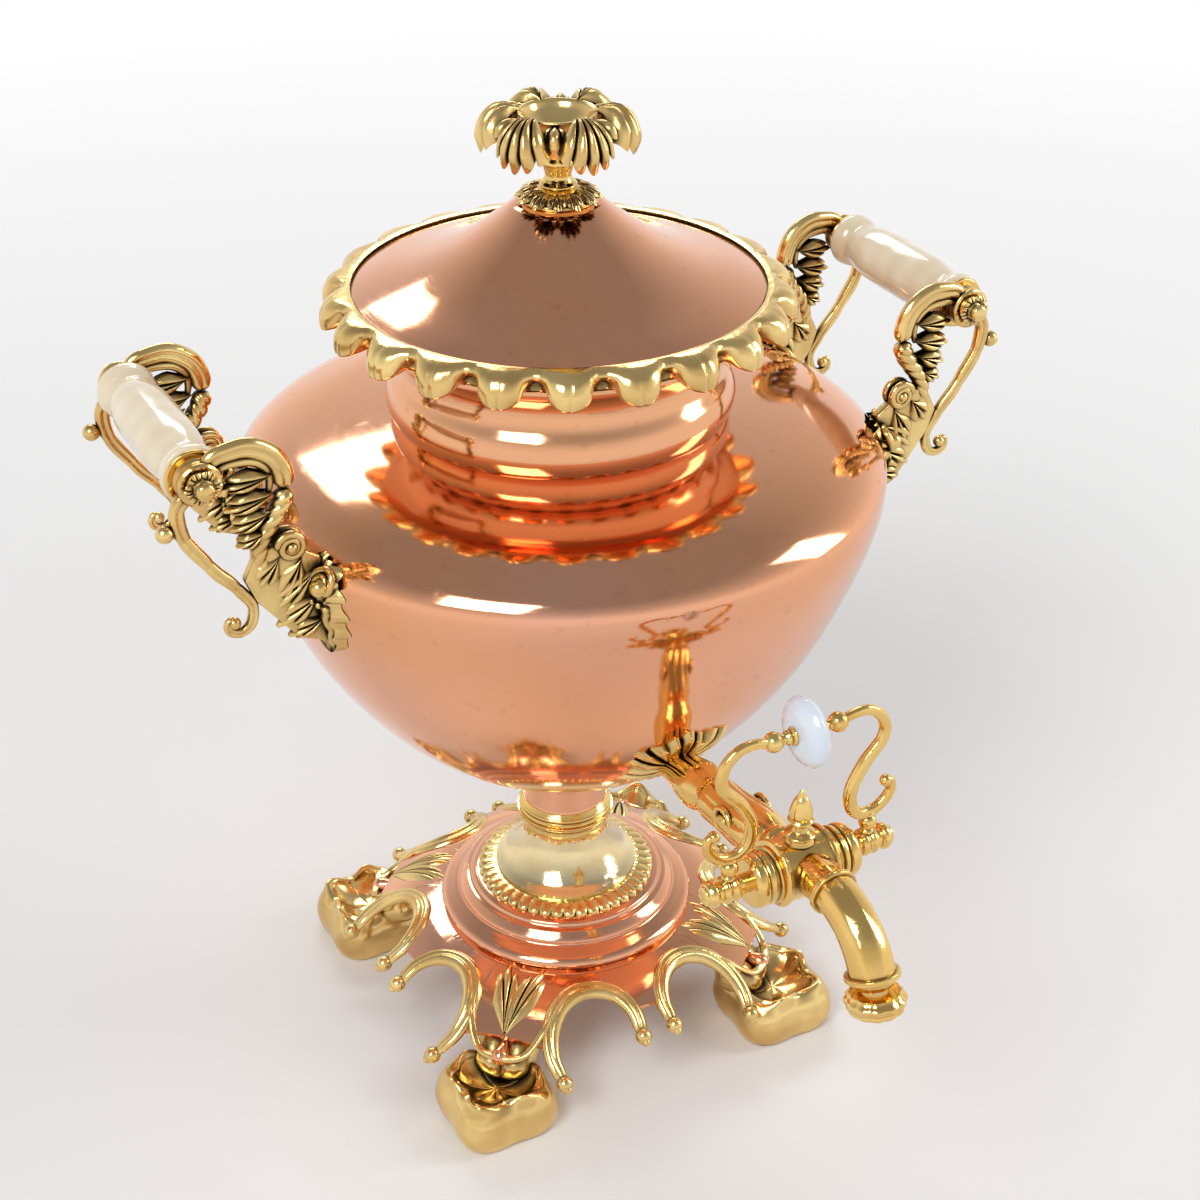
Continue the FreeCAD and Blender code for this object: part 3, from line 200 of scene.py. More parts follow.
# %% Copper finishes
def copper_finish(name, base, warm, rough, wave):
    f = Finish(name, Metallic=1.0)
    clouds = f.noise(11.0, 4.0)
    spots = f.between(f.noise(160.0, 5.0), 0.62, 0.78)
    hairs = f.noise(90.0, 6.0, (1.0, 1.0, 26.0))
    tint = f.mix(f.between(clouds, 0.35, 0.7), base, warm)
    colour = f.mix(spots * 0.22, tint, (0.36, 0.14, 0.07, 1))
    # Painted shade: each piece turns a deep brown in its own hollows.
    colour = f.mix(f.hollow(0.02) * 0.30, colour, (0.34, 0.15, 0.08, 1))
    roughness = rough + hairs * 0.09 + spots * 0.12 + clouds * 0.04
    swim = f.bump(f.noise(13.0, 1.5), wave, 0.004)
    return f.paint(colour, roughness, f.bump(hairs, 0.03, 0.0004, swim))


COPPER = copper_finish("polished copper", (0.83, 0.42, 0.27, 1), (0.86, 0.40, 0.19, 1), 0.02, 0.06)
DEEP_COPPER = copper_finish("deep copper", (0.80, 0.40, 0.25, 1), (0.86, 0.44, 0.20, 1), 0.03, 0.12)
TINNED = copper_finish("tinned copper", (0.62, 0.60, 0.56, 1), (0.70, 0.66, 0.60, 1), 0.25, 0.04)
print("copper finishes:", COPPER.name, DEEP_COPPER.name)

# %% [markdown]
# ## Brass
# The turned foot and the tap are bright brass. The cast leaves and scrolls were polished only
# where a cloth reaches, so their ridges shine yellow; their hollows stay nearly black, partly from
# patina and partly as painted shade. The hollows are found by how little open sky each point sees,
# and the bright brass, the steel and the iron are given the same painted shade in theirs.


# %% Brass finishes
def brass_finish(name, bright, dull, patina_and_shade, rough, depth=0.004):
    f = Finish(name, Metallic=1.0)
    clouds = f.noise(45.0, 4.0)
    grain = f.noise(900.0, 3.0)
    tone = f.mix(f.between(clouds, 0.35, 0.68), bright, dull)
    # Painted shade, and patina on the cast brass: the colour goes nearly black in the hollows, by the
    # share given for each finish.
    shade = f.between(f.hollow(depth), 0.10, 0.46) * patina_and_shade
    colour = f.mix(shade, tone, (0.035, 0.022, 0.010, 1))
    roughness = rough + clouds * 0.12 + shade * 0.30
    pitted = f.bump(f.noise(260.0, 4.0), 0.10 + 0.15 * patina_and_shade, 0.0006)
    return f.paint(colour, roughness, f.bump(grain, 0.05, 0.0002, pitted))


BRIGHT_BRASS = brass_finish("bright brass", (0.88, 0.62, 0.22, 1), (0.80, 0.50, 0.15, 1), 0.65,
                            0.05, 0.006)
PALE_BRASS = brass_finish("pale brass", (0.88, 0.74, 0.44, 1), (0.80, 0.62, 0.34, 1), 0.5, 0.04, 0.006)
CAST_BRASS = brass_finish("antiqued cast brass", (0.90, 0.66, 0.27, 1), (0.66, 0.42, 0.15, 1), 1.0,
                          0.13, 0.007)
STEEL = brass_finish("steel", (0.55, 0.55, 0.56, 1), (0.42, 0.42, 0.43, 1), 0.5, 0.28)
IRON = brass_finish("black iron", (0.10, 0.09, 0.09, 1), (0.16, 0.10, 0.07, 1), 0.6, 0.5)
print("brass finishes:", BRIGHT_BRASS.name, CAST_BRASS.name)

# %% [markdown]
# ## Ceramic and fibre
# The grips are warm ivory ceramic with faint turned rings, and the key's disc is cooler and
# whiter. Both are glazed, so a clear coat lies over a slightly cloudy body.


# %% Ceramic finishes
def glaze(name, body, cloud, rings):
    f = Finish(name, Coat_Weight=0.6, Coat_Roughness=0.04, Specular_IOR_Level=0.5)
    clouds = f.between(f.noise(60.0, 5.0), 0.4, 0.75)
    lines = f.node("TexWave", {"bands_direction": "Y"},
                   {"Vector": f.place, "Scale": 26.0, "Distortion": 0.6, "Detail": 2.0}, out="Fac")
    colour = f.mix(clouds * 0.5 + lines * rings, body, cloud)
    # Painted shade: the glaze turns brown in the hollows of each piece.
    colour = f.mix(f.hollow(0.004) * 0.6, colour, (0.30, 0.22, 0.13, 1))
    return f.paint(colour, 0.14 + clouds * 0.12, f.bump(lines, 0.25 * rings, 0.0006))


IVORY = glaze("ivory ceramic", (0.80, 0.69, 0.50, 1), (0.66, 0.52, 0.33, 1), 0.25)
MILKY = glaze("milky ceramic", (0.72, 0.78, 0.86, 1), (0.56, 0.64, 0.76, 1), 0.0)
fibre = Finish("red fibre")
FIBRE = fibre.paint(fibre.mix(fibre.noise(400.0), (0.22, 0.05, 0.03, 1), (0.34, 0.10, 0.06, 1)), 0.8)

FINISHES = {"copper": COPPER, "cast_brass": CAST_BRASS, "bright_brass": BRIGHT_BRASS,
            "grip_ceramic": IVORY, "disc_ceramic": MILKY, "steel": STEEL,
            "tinned_copper": TINNED, "iron": IRON, "fibre": FIBRE}
print("finishes:", sorted(FINISHES))

# %% [markdown]
# ## Three ways to make a shape
# A turned piece is an outline spun round an axis. A bar or scroll is a flat grid rolled round a
# route. A leaf is a flat grid laid on the surface that carries it and folded back under itself,
# because a wall grown from the surface makes spikes at the sharp creases. Each way
# starts from a bmesh operator and adds to one mesh, so a casting is one piece however many
# parts it has.


# %% Curves through points
def smooth(points, per=8):
    """More points on an even curve through the given ones."""
    if len(points) < 3:
        return [Vector(p) for p in points]
    knots = [Vector(p) for p in points]
    knots = [2 * knots[0] - knots[1]] + knots + [2 * knots[-1] - knots[-2]]
    out = []
    for a, b, c, d in zip(knots, knots[1:], knots[2:], knots[3:]):
        for i in range(per):
            t = i / per
            pull = (c - a) * t + (2 * a - 5 * b + 4 * c - d) * t ** 2 + (3 * b - 3 * c + d - a) * t ** 3
            out.append(b + 0.5 * pull)
    return out + [knots[-2]]


def along(points, share):
    """The point a share of the way along a run of points."""
    place = min(max(share, 0.0), 1.0) * (len(points) - 1)
    i = min(int(place), len(points) - 2)
    return points[i].lerp(points[i + 1], place - i)


# %% Turn, sweep and lay
TOUCH = 1e-6
UP = Vector((0, 0, 1))


def aim(at, direction):
    """Moves to a point and turns +Z towards a direction."""
    turned_up = UP.rotation_difference(Vector(direction)).to_matrix().to_4x4()
    return Matrix.Translation(at) @ turned_up


def lathe(bm, runs, steps=96, place=None, relief=None, per=8):
    """Spins runs of (radius, z) points into a turned piece.

    Each run is one smooth curve that starts where the last one ended, so runs meet in corners."""
    line = []
    for run in runs:
        points = [Vector((radius, 0, z)) for radius, z in run]
        if line and (points[0] - line[-1]).length > TOUCH:
            points.insert(0, line[-1])
        line += smooth(points, per)[len(line[:1]):]
    before = set(bm.verts)
    verts = [bm.verts.new(p) for p in line]
    edges = [bm.edges.new(pair) for pair in zip(verts, verts[1:]) if pair[0].co != pair[1].co]
    bmesh.ops.spin(bm, geom=verts + edges, cent=(0, 0, 0), axis=(0, 0, 1), angle=TURN, steps=steps,
                   use_merge=True)
    made = [v for v in bm.verts if v not in before]
    if relief:
        for v in made:
            v.co = relief(v.co, math.atan2(v.co.y, v.co.x), math.hypot(v.co.x, v.co.y))
    if place:
        bmesh.ops.transform(bm, matrix=place, verts=made)


def lay(bm, shape, across, down):
    """A grid whose point (u, v), each from 0 to 1, goes to shape(u, v)."""
    for v in bmesh.ops.create_grid(bm, x_segments=across, y_segments=down, size=0.5)["verts"]:
        v.co = Vector(shape(v.co.x + 0.5, v.co.y + 0.5))


def round_end(u, share):
    edge = min(u, 1 - u) / share
    return math.sqrt(max(0.0, 1 - (1 - edge) ** 2)) if edge < 1 else 1.0


def sweep(bm, route, radius, side, section=None, taper=None, turns=0.0, rows=72, around=20):
    """A bar along a route in a plane square to side. section(angle) and taper(u) scale its radius."""
    points = smooth(route, 10)
    length = sum((b - a).length for a, b in zip(points, points[1:]))
    end = min(0.3, radius / length)
    side = Vector(side)

    def skin(u, v):
        here = along(points, u)
        ahead = (along(points, u + 0.01) - along(points, u - 0.01)).normalized()
        out = ahead.cross(side).normalized()
        angle = v * TURN
        size = radius * round_end(u, end) * (taper(u) if taper else 1.0)
        size *= section(angle + turns * TURN * u) if section else 1.0
        return here + size * (math.cos(angle) * out + math.sin(angle) * side)

    lay(bm, skin, rows, around)


def coil(count, step, radius, shrink):
    """Points (across, up) of a spiral that closes inwards as it turns."""
    turns = [(step * k, radius - shrink * k) for k in range(count)]
    return [(size * math.cos(angle), size * math.sin(angle)) for angle, size in turns]


def ball(bm, at, radius):
    bmesh.ops.create_uvsphere(bm, u_segments=24, v_segments=14, radius=radius,
                              matrix=Matrix.Translation(at))


# %% Finish a mesh
MERGE = 0.004


def piece(name, bm, body, slot, nodes, finish=None, corner=42):
    """Merges, scales and shades a mesh, gives it its finish and ties it to its CAD body."""
    bmesh.ops.remove_doubles(bm, verts=bm.verts, dist=MERGE)
    bmesh.ops.dissolve_degenerate(bm, edges=bm.edges, dist=1e-4)
    bmesh.ops.recalc_face_normals(bm, faces=bm.faces)
    for face in bm.faces:
        face.smooth = True
    for edge in bm.edges:
        edge.smooth = len(edge.link_faces) == 2 and edge.calc_face_angle(0.0) < math.radians(corner)
    bmesh.ops.scale(bm, vec=(MM, MM, MM), verts=bm.verts)
    mesh = bpy.data.meshes.new(name)
    bm.to_mesh(mesh)
    bm.free()
    obj = bpy.data.objects.new(name, mesh)
    scene.collection.objects.link(obj)
    mesh.materials.append(finish or FINISHES[slot])
    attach(obj, body)
    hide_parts(*nodes)
    print("%-22s %6d faces" % (name, len(mesh.polygons)))


def turned(name, runs, body, slot, node, finish=None, **how):
    bm = bmesh.new()
    lathe(bm, runs, **how)
    piece(name, bm, body, slot, (node,), finish)


# %% [markdown]
# ## Leaves
# Cast leaves are fans of rounded fingers with sharp creases between them. One formula gives
# them all: the fan's edge is scalloped by the same wave that lifts each finger.


# %% One fan leaf
def fan_leaf(bm, surface, length, width, fingers, lift, wall, start=0.0, rows=14):
    """A leaf laid on surface(along, across, height), all in millimetres from its root.

    The grid runs out along its top and back along its underside, and the two meet at every edge."""

    def skin(u, v):
        on_top = v <= 0.5
        share = 2 * v if on_top else 2 - 2 * v
        s = 2 * u - 1
        finger = abs(math.cos(0.5 * math.pi * fingers * s)) ** 0.55
        out = length * (1 - 0.42 * s * s) * (0.84 + 0.16 * finger)
        t = start + (1 - start) * share
        open_up = math.sin(0.5 * math.pi * min(1.0, 0.25 + 1.1 * t))
        rise = lift * finger * math.sin(math.pi * (0.12 + 0.78 * share))
        curl = -0.9 * lift * max(0.0, share - 0.8) * 5
        edge = min(1.0, 5 * (1 - abs(s)), 6 * share, 0.4 + 6 * (1 - share))
        return surface(out * t, width * s * t * open_up, rise + curl - (0.0 if on_top else wall * edge))

    lay(bm, skin, fingers * 8, 2 * rows)


print("fan leaf ready")

# %% [markdown]
# ## The bowl, the collar and the lid
# These are spun copper sheet. Each is an outline for the outside and the same outline moved
# inwards for the inside, spun into a closed wall, so that the open mouth has a true edge.


# %% Outlines of the copper
BOWL_LOWER = [(0.11, 0.0), (0.20, 0.022), (0.37, 0.105), (0.55, 0.228), (0.70, 0.375), (0.83, 0.555),
              (0.93, 0.76), (0.985, 0.91), (1.0, 1.0)]
BOWL_UPPER = [(0.985, 0.30), (0.91, 0.57), (0.78, 0.77), (0.62, 0.90)]
MOUTH_R = 58.0
bowl_line = [(BOWL_R * r, BOWL_Z + (WIDE_Z - BOWL_Z) * h) for r, h in BOWL_LOWER]
bowl_line += [(BOWL_R * r, WIDE_Z + (MOUTH_Z - WIDE_Z) * h) for r, h in BOWL_UPPER]
bowl_line += [(MOUTH_R, MOUTH_Z)]
bowl_curve = smooth([(r, 0, z) for r, z in bowl_line], 12)


def inside(points, wall):
    """The same run moved to its left by a wall's thickness, and read backwards."""
    out = []
    for i, (r, z) in enumerate(points):
        a, b = points[max(i - 1, 0)], points[min(i + 1, len(points) - 1)]
        length = math.hypot(b[0] - a[0], b[1] - a[1])
        out.append((r - wall * (b[1] - a[1]) / length, z + wall * (b[0] - a[0]) / length))
    return out[::-1]


def mirrored(points):
    return [(r, -z) for r, z in points[::-1]]


# %% Spin the copper
WALL = 1.2
HUB = 4.1
STUD_R = 2.6
bowl_inner = inside(bowl_line, WALL)
bowl_inner[-1] = (bowl_line[0][0], BOWL_Z + WALL)
turned("bowl_skin",
       [[(HUB, BOWL_Z), bowl_line[0]], bowl_line, bowl_inner[:1], bowl_inner,
        [(HUB, BOWL_Z + WALL)], [(HUB, BOWL_Z)]], "urn", "copper", "bowl", steps=160)

COLLAR_Z = MOUTH_Z - 1.3
COLLAR_R, BULGE_R, WAIST_R, BRIM_R = 63.0, 66.8, 61.2, 80.0
BRIM_Z = RIM_Z - 1.4
collar_line = [(COLLAR_R, COLLAR_Z - 1), (COLLAR_R + 2.6, COLLAR_Z + 3), (BULGE_R, COLLAR_Z + 8.5),
               (BULGE_R - 1.5, COLLAR_Z + 14.5), (WAIST_R + 1.2, COLLAR_Z + 19.5),
               (WAIST_R, COLLAR_Z + 25), (WAIST_R + 1.6, COLLAR_Z + 31.5),
               (WAIST_R + 7.0, COLLAR_Z + 38.5), (WAIST_R + 13, BRIM_Z)]
collar_inner = inside(collar_line, WALL)
turned("collar_skin",
       [collar_line, [(BRIM_R, BRIM_Z)], [(BRIM_R, RIM_Z)], [(collar_inner[0][0], RIM_Z)],
        collar_inner[:1], collar_inner, collar_line[:1]], "urn", "copper", "neck_collar",
       DEEP_COPPER, steps=144)

LID_RISE = [(1.0, 0.0), (0.914, 0.075), (0.717, 0.235), (0.522, 0.455), (0.365, 0.71), (0.235, 0.955)]
lid_line = [(LID_R * r, LID_EDGE_Z + 0.9 + (LID_TOP_Z - LID_EDGE_Z - 0.9) * h) for r, h in LID_RISE]
lid_line += [(14.0, LID_TOP_Z)]
lid_inner = inside(lid_line, WALL)
lid_inner[-1] = (LID_R - 3.0, LID_EDGE_Z)
lid_inner[0] = (13.7, LID_TOP_Z - WALL)
turned("lid_skin",
       [[(LID_R, LID_EDGE_Z), lid_line[0]], lid_line, [(STUD_R, LID_TOP_Z)],
        [(STUD_R, LID_TOP_Z - WALL)], [lid_inner[0]], lid_inner, [(LID_R, LID_EDGE_Z)]], "lid",
       "copper", "lid_shell", steps=144)


# %% [markdown]
# ## The turned stack under the bowl
# A moulded ring, a band of small beads, a waisted bell, a knop and a short stem carry the bowl.
# They are lathe work, and only the bead band is shaped again after it is spun.

# %% Spin the stack
low, high, wide = BASE_Z, BAND_Z, 54.8
turned("moulding_skin",
       [[(29, low), (wide - 1.4, low)],
        [(wide, low + 2.3), (wide - 1.4, low + 4.7), (wide - 5.4, low + 6.6)],
        [(wide - 7.7, low + 7.6), (wide - 8.2, low + 9.4), (wide - 11.2, low + 12.2)],
        [(wide - 13.2, low + 12.8), (wide - 14.2, low + 14.2), (wide - 16.2, high)], [(29, high)],
        [(29, low)]], "urn", "copper", "ring_moulding")
BEADS, BEAD_IN, BEAD_DEPTH = 44, 32.5, 1.5


def beaded(co, angle, radius):
    if radius < BEAD_IN:
        return co
    wave = abs(math.cos(0.5 * BEADS * angle)) ** 0.6
    return co - Vector((co.x, co.y, 0)) * (BEAD_DEPTH / radius) * (1 - wave)


low, high = BAND_Z, BELL_Z
turned("bead_skin",
       [[(24.4, low), (38.2, low)], [(38.0, low + 1.4), (36.4, low + 2.6), (31.9, high)],
        [(24.4, high)], [(24.4, low)]], "urn", "cast_brass", "bead_band", steps=BEADS * 8,
       relief=beaded, per=4)
low, high, waist = BELL_Z, KNOP_Z, 18.1
turned("bell_skin",
       [[(22.4, low), (30.4, low)], [(30.4, low + 1.4)],
        [(25.9, low + 4.6), (waist + 3.4, low + 10), (waist + 0.6, low + 16), (waist, low + 21.5),
         (waist + 1, low + 26), (20.5, high - 1.4)], [(20.5, high)], [(HUB, high)],
        [(HUB, high - 5)], [(waist - 5, high - 5)], [(waist - 4, low + 12), (22.4, low)]], "urn",
       "bright_brass", "bell_foot", PALE_BRASS)
low, high, wide = KNOP_Z, STEM_Z, 19.9
turned("knop_skin",
       [[(HUB, low), (wide - 0.8, low)], [(wide, low + 0.9), (wide - 0.5, low + 1.9)],
        [(wide - 1.1, low + 2.2)], [(wide - 0.5, low + 2.5)],
        [(wide - 0.1, low + 3.4), (wide - 0.9, low + 4.4)], [(wide - 2, high)], [(HUB, high)],
        [(HUB, low)]], "urn", "bright_brass", "stem_knop")
low, high, wide = STEM_Z, BOWL_Z + 3.2, 17.2
turned("stem_skin",
       [[(HUB, low), (wide + 0.4, low)],
        [(wide, low + 2), (wide - 0.2, low + 11), (wide + 1.2, BOWL_Z)], [(wide + 1.5, high - 1.6)],
        [(14.0, BOWL_Z)], [(HUB, BOWL_Z)], [(HUB, low)]], "urn", "copper", "stem_tube")

# %% [markdown]
# ## The base plate and its scrolls
# One copper sheet flares into four arms. Its plan is a disc joined to four arms, with eight
# round arches bitten out; from the middle every point of it can be seen, so a grid can run
# from the hub to the edge at each angle. Fluted C-scrolls with ball ends line the arches.


# %% Plan and slope of the plate
ARCH = Vector((26.0, -79.0))
ARCH_R = 19.44
SLOPE = smooth([(53, 0, 46), (66.2, 0, 43), (79.8, 0, 36), (92, 0, 26.8), (100, 0, 19)], 12)


def plate_height(radius):
    for a, c in zip(SLOPE, SLOPE[1:]):
        if a.x <= radius <= c.x:
            return a.z + (c.z - a.z) * (radius - a.x) / (c.x - a.x)
    return BASE_Z if radius < SLOPE[0].x else SLOPE[-1].z


def plate_edge(angle):
    """How far the plate reaches from its middle at an angle."""
    arm = abs((angle - TURN / 8 + TURN / 8) % (TURN / 4) - TURN / 8)
    out = max(77.0, min(27.0 / max(math.sin(arm), 1e-6), 86.0 / math.cos(arm)))
    side = abs((angle + TURN / 8) % (TURN / 4) - TURN / 8)
    away = abs(side - math.atan2(ARCH.x, -ARCH.y))
    miss = ARCH.length * math.sin(away)
    if miss < ARCH_R:
        out = min(out, ARCH.length * math.cos(away) - math.sqrt(ARCH_R ** 2 - miss ** 2))
    return out


def plate_skin(u, v):
    angle = u * TURN
    top_side = v < 0.5
    share = 2 * v if top_side else 2 - 2 * v
    radius = HUB + (plate_edge(angle) - HUB) * share
    height = plate_height(radius) - (0.0 if top_side else 1.6)
    return radius * math.cos(angle), radius * math.sin(angle), height


bm = bmesh.new()
lay(bm, plate_skin, 720, 41)
piece("plate_skin", bm, "urn", "copper", ("base_plate",), corner=50)


# %% Scrolls along the arches
def fluted(angle):
    """Two ribs with a groove between them, on the faces square to the scroll's plane."""
    return 1.0 - 0.48 * abs(math.sin(angle)) ** 9 + 0.06 * math.cos(4 * angle)


def quarter_turns(bm, made):
    """Copies what was made round the four quarters."""
    geom = list(made)
    for k in range(1, 4):
        copy = bmesh.ops.duplicate(bm, geom=geom)["geom"]
        verts = [g for g in copy if isinstance(g, bmesh.types.BMVert)]
        bmesh.ops.rotate(bm, verts=verts, cent=(0, 0, 0), matrix=Matrix.Rotation(k * TURN / 4, 3, "Z"))


bm = bmesh.new()
for s in (-1, 1):
    route = []
    for step in range(9):
        angle = math.radians(196 - step * (196 + 18) / 8)
        x, y = ARCH.x + ARCH_R * math.cos(angle), ARCH.y + ARCH_R * math.sin(angle)
        route.append((s * x, y, plate_height(math.hypot(x, y)) - 0.8))
    sweep(bm, route, 4.1, (0, 0, 1), fluted, lambda u: 0.62 + 0.42 * math.sin(math.pi * u), rows=80,
          around=40)
    for end, ahead in ((route[0], route[1]), (route[-1], route[-2])):
        back = (Vector(end) - Vector(ahead)).normalized()
        ball(bm, Vector(end) + 0.6 * back, 3.5)
        ball(bm, Vector(end) + 3.4 * back + Vector((0, 0, 0.2)), 1.9)
quarter_turns(bm, bm.verts[:] + bm.edges[:] + bm.faces[:])
piece("scroll_skin", bm, "urn", "cast_brass", ("scroll_borders",))

# %% [markdown]
# ## The feet
# Each foot is a lobed casting with a scooped shell in its top and a wavy lip. It is laid as a
# grid round its own centre, then long leaves and a drop are set where the arm meets it.


# %% One foot and its three copies
FOOT_OUT, FOOT_R, FOOT_H = 95.0, 23.5, 23.0
FOOT_LINE = smooth([(0.0, 0, 0.0), (0.80, 0, 0.0), (0.95, 0, 0.08), (1.02, 0, 0.34),
                    (0.98, 0, 0.60), (0.88, 0, 0.80), (0.80, 0, 0.92), (0.70, 0, 0.93),
                    (0.62, 0, 0.80), (0.45, 0, 0.66), (0.25, 0, 0.60), (0.0, 0, 0.60)], 5)


def foot_skin(u, v):
    angle = TURN * u
    spot = along(FOOT_LINE, v)
    wave = math.cos(6 * angle)
    lip = max(0.0, 1 - abs(spot.x - 0.74) / 0.16) if spot.z > 0.5 else 0.0
    radius = spot.x * (FOOT_R + 2.4 * math.cos(4 * angle)) + 1.7 * lip * wave
    height = FOOT_H * spot.z + 1.5 * lip * wave
    if spot.x < 0.66 and spot.z > 0.5:
        height += 1.3 * abs(math.cos(3.5 * angle)) ** 0.6 * spot.x
    return FOOT_OUT + radius * math.cos(angle), radius * math.sin(angle), max(0.0, height)


def on_arm(start, spin, up):
    """Places a leaf on the arm, from a distance out along it, turned by an angle."""
    def surface(a, c, h):
        x = start + a * math.cos(spin) - c * math.sin(spin)
        y = a * math.sin(spin) + c * math.cos(spin)
        return Vector((x, y, plate_height(math.hypot(x, y)) + up + h))
    return surface


def foot_mesh():
    bm = bmesh.new()
    lay(bm, foot_skin, 168, 56)
    neck = [(FOOT_OUT - 24, 0, 26), (FOOT_OUT - 15, 0, 21), (FOOT_OUT - 6, 0, 13)]
    sweep(bm, neck, 10.0, (0, 1, 0), lambda a: 0.55 + 0.75 * abs(math.sin(a)), rows=20, around=32)
    for s in (-1, 1):
        fan_leaf(bm, on_arm(85, s * math.radians(166), 0.2), 34, 6.5, 3, 1.4, 0.8, start=0.08)
        route = [(70, s * 17, plate_height(72) + 0.6), (80, s * 15.5, plate_height(81.5) + 1.0),
                 (88, s * 9.5, 28.0), (91, 0, 27.0)]
        sweep(bm, route, 1.9, (0, 0, 1), fluted, lambda u: 0.6 + 0.4 * u, rows=40, around=14)
    return bm


drop_bm = bmesh.new()
for k, name in enumerate(("rear_right", "rear_left", "front_left", "front_right")):
    spin = Matrix.Rotation(TURN / 8 + k * TURN / 4, 4, "Z")
    bm = foot_mesh()
    bmesh.ops.transform(bm, matrix=spin, verts=bm.verts)
    piece("foot_skin_" + name, bm, "urn", "cast_brass", ("foot_" + name,))
    tilt = spin @ aim((81.4, 0, 29.6), (1, 0, -0.35))
    lathe(drop_bm, [[(0, 0), (1.3, 1.4), (2.6, 4.6), (3.7, 8.4), (2.3, 11.3), (0, 12)]], 32, tilt)
piece("drop_skin", drop_bm, "urn", "copper", ("pear_drops",))

# %% [markdown]
# ## The gadrooned rim
# A ring of curled tongues hangs over the collar, with a small dark arch between each pair. One
# outline is spun, and each point is then pushed out and down by how close it is to a tongue.

# %% Rim with its tongues
TONGUES = 22
SEAT_R = 77.5
TONGUE_OUT, TONGUE_DOWN = 5.8, 5.2


def gadroon(co, angle, radius):
    phase = (angle / TURN * TONGUES + 0.5) % 1 - 0.5
    tongue = max(0.0, math.cos(math.pi * phase / 0.66)) ** 0.55 if abs(phase) < 0.33 else 0.0
    arch = max(0.0, 1 - ((abs(phase) - 0.5) / 0.20) ** 2)
    outer = min(1.0, max(0.0, (radius - 79.2) / 4.6))
    low = min(1.0, max(0.0, (GALLERY_Z - 1.0 - co.z) / 7.0))
    bead = math.exp(-((abs(phase) - 0.35) / 0.05) ** 2)
    crease = math.exp(-(phase / 0.035) ** 2) * tongue
    grow = outer * (TONGUE_OUT * tongue - 0.7 * crease + 1.5 * bead - 5.4 * arch * low)
    sink = outer * low * (TONGUE_DOWN * tongue - 2.2 * arch)
    lift = outer * (1 - low) * (0.5 * bead - 1.0 * arch)
    rim = co.copy()
    rim.x += math.cos(angle) * grow
    rim.y += math.sin(angle) * grow
    rim.z += lift - sink
    rim.z = min(rim.z, GALLERY_Z)
    return rim


turned("rim_skin",
       [[(73.9, RIM_Z), (79.6, RIM_Z)],
        [(81.5, RIM_Z + 0.3), (83.6, RIM_Z + 1.2), (84.0, RIM_Z + 3.4), (83.0, RIM_Z + 6.4),
         (81.0, GALLERY_Z - 0.5), (79.2, GALLERY_Z)], [(SEAT_R, GALLERY_Z - 0.5)],
        [(SEAT_R, GALLERY_Z - 2.4)], [(73.9, GALLERY_Z - 2.4)], [(73.9, RIM_Z)]], "urn",
       "cast_brass", "rim_gallery", steps=TONGUES * 24, relief=gadroon, per=6)

# %% [markdown]
# ## The finial
# A rosette of beaded petals, a turned ferrule and a crown: six large leaves droop from the rim
# of a smooth cup, and six small two-lobed leaves show between them.

# %% Rosette and ferrule
bm = bmesh.new()
low, high = LID_TOP_Z, LID_TOP_Z + 5.5
lathe(bm, [[(STUD_R, low), (13.5, low)], [(14.0, low + 2), (10.0, low + 4.4), (6.4, high)],
           [(STUD_R, high)], [(STUD_R, low)]], 72)
PETALS, PETAL_IN, PETAL_LONG = 12, 7.2, 9.4


def on_rosette(spin):
    """Lays a petal on the rosette's slope, at one of its turns."""
    def surface(a, c, h):
        drop = 3.3 * (a / 9.6) ** 2
        return spin @ Vector((PETAL_IN + a, c, LID_TOP_Z + 4.9 - drop + h))
    return surface


for k in range(PETALS):
    spin = Matrix.Rotation(k * TURN / PETALS, 4, "Z")
    fan_leaf(bm, on_rosette(spin), PETAL_LONG, 3.9, 3, 0.8, 0.6, rows=10)
    ball(bm, spin @ Vector((14.6, 0, LID_TOP_Z + 2.2)), 1.15)
piece("rosette_skin", bm, "lid", "cast_brass", ("finial_rosette",))

low, high, wide = LID_TOP_Z + 5.5, FERRULE_Z, 6.4
turned("ferrule_skin",
       [[(STUD_R, low), (wide, low)], [(wide + 0.6, low + 1.2), (wide - 0.6, low + 2.4)],
        [(wide - 1.5, low + 4.5), (wide - 0.7, low + 8)],
        [(wide + 0.3, low + 9.6), (wide - 0.4, high)], [(STUD_R, high)], [(STUD_R, low)]], "lid",
       "bright_brass", "finial_ferrule", steps=64)

# %% Crown
DOME = smooth([(12.4, 0, CROWN_Z - 3.4), (16.5, 0, CROWN_Z - 1.6), (21.0, 0, CROWN_Z - 1.2),
               (25.8, 0, CROWN_Z - 4.6), (28.6, 0, CROWN_Z - 11.0), (29.4, 0, CROWN_Z - 17.0)], 8)
DOME_LONG = sum((c - a).length for a, c in zip(DOME, DOME[1:]))


def on_dome(bearing, tuck=0.0):
    """Lays a leaf on the drooping dome, at a bearing round the finial."""
    def surface(a, c, h):
        spot = along(DOME, a / DOME_LONG)
        ahead = (along(DOME, a / DOME_LONG + 0.02) - along(DOME, a / DOME_LONG - 0.02)).normalized()
        out = spot + Vector((-ahead.z, 0, ahead.x)) * h - Vector((0, 0, tuck))
        droop = 0.045 * c * c
        swing = bearing + c / 24.0
        return Vector((out.x * math.cos(swing), out.x * math.sin(swing), out.z - droop))
    return surface


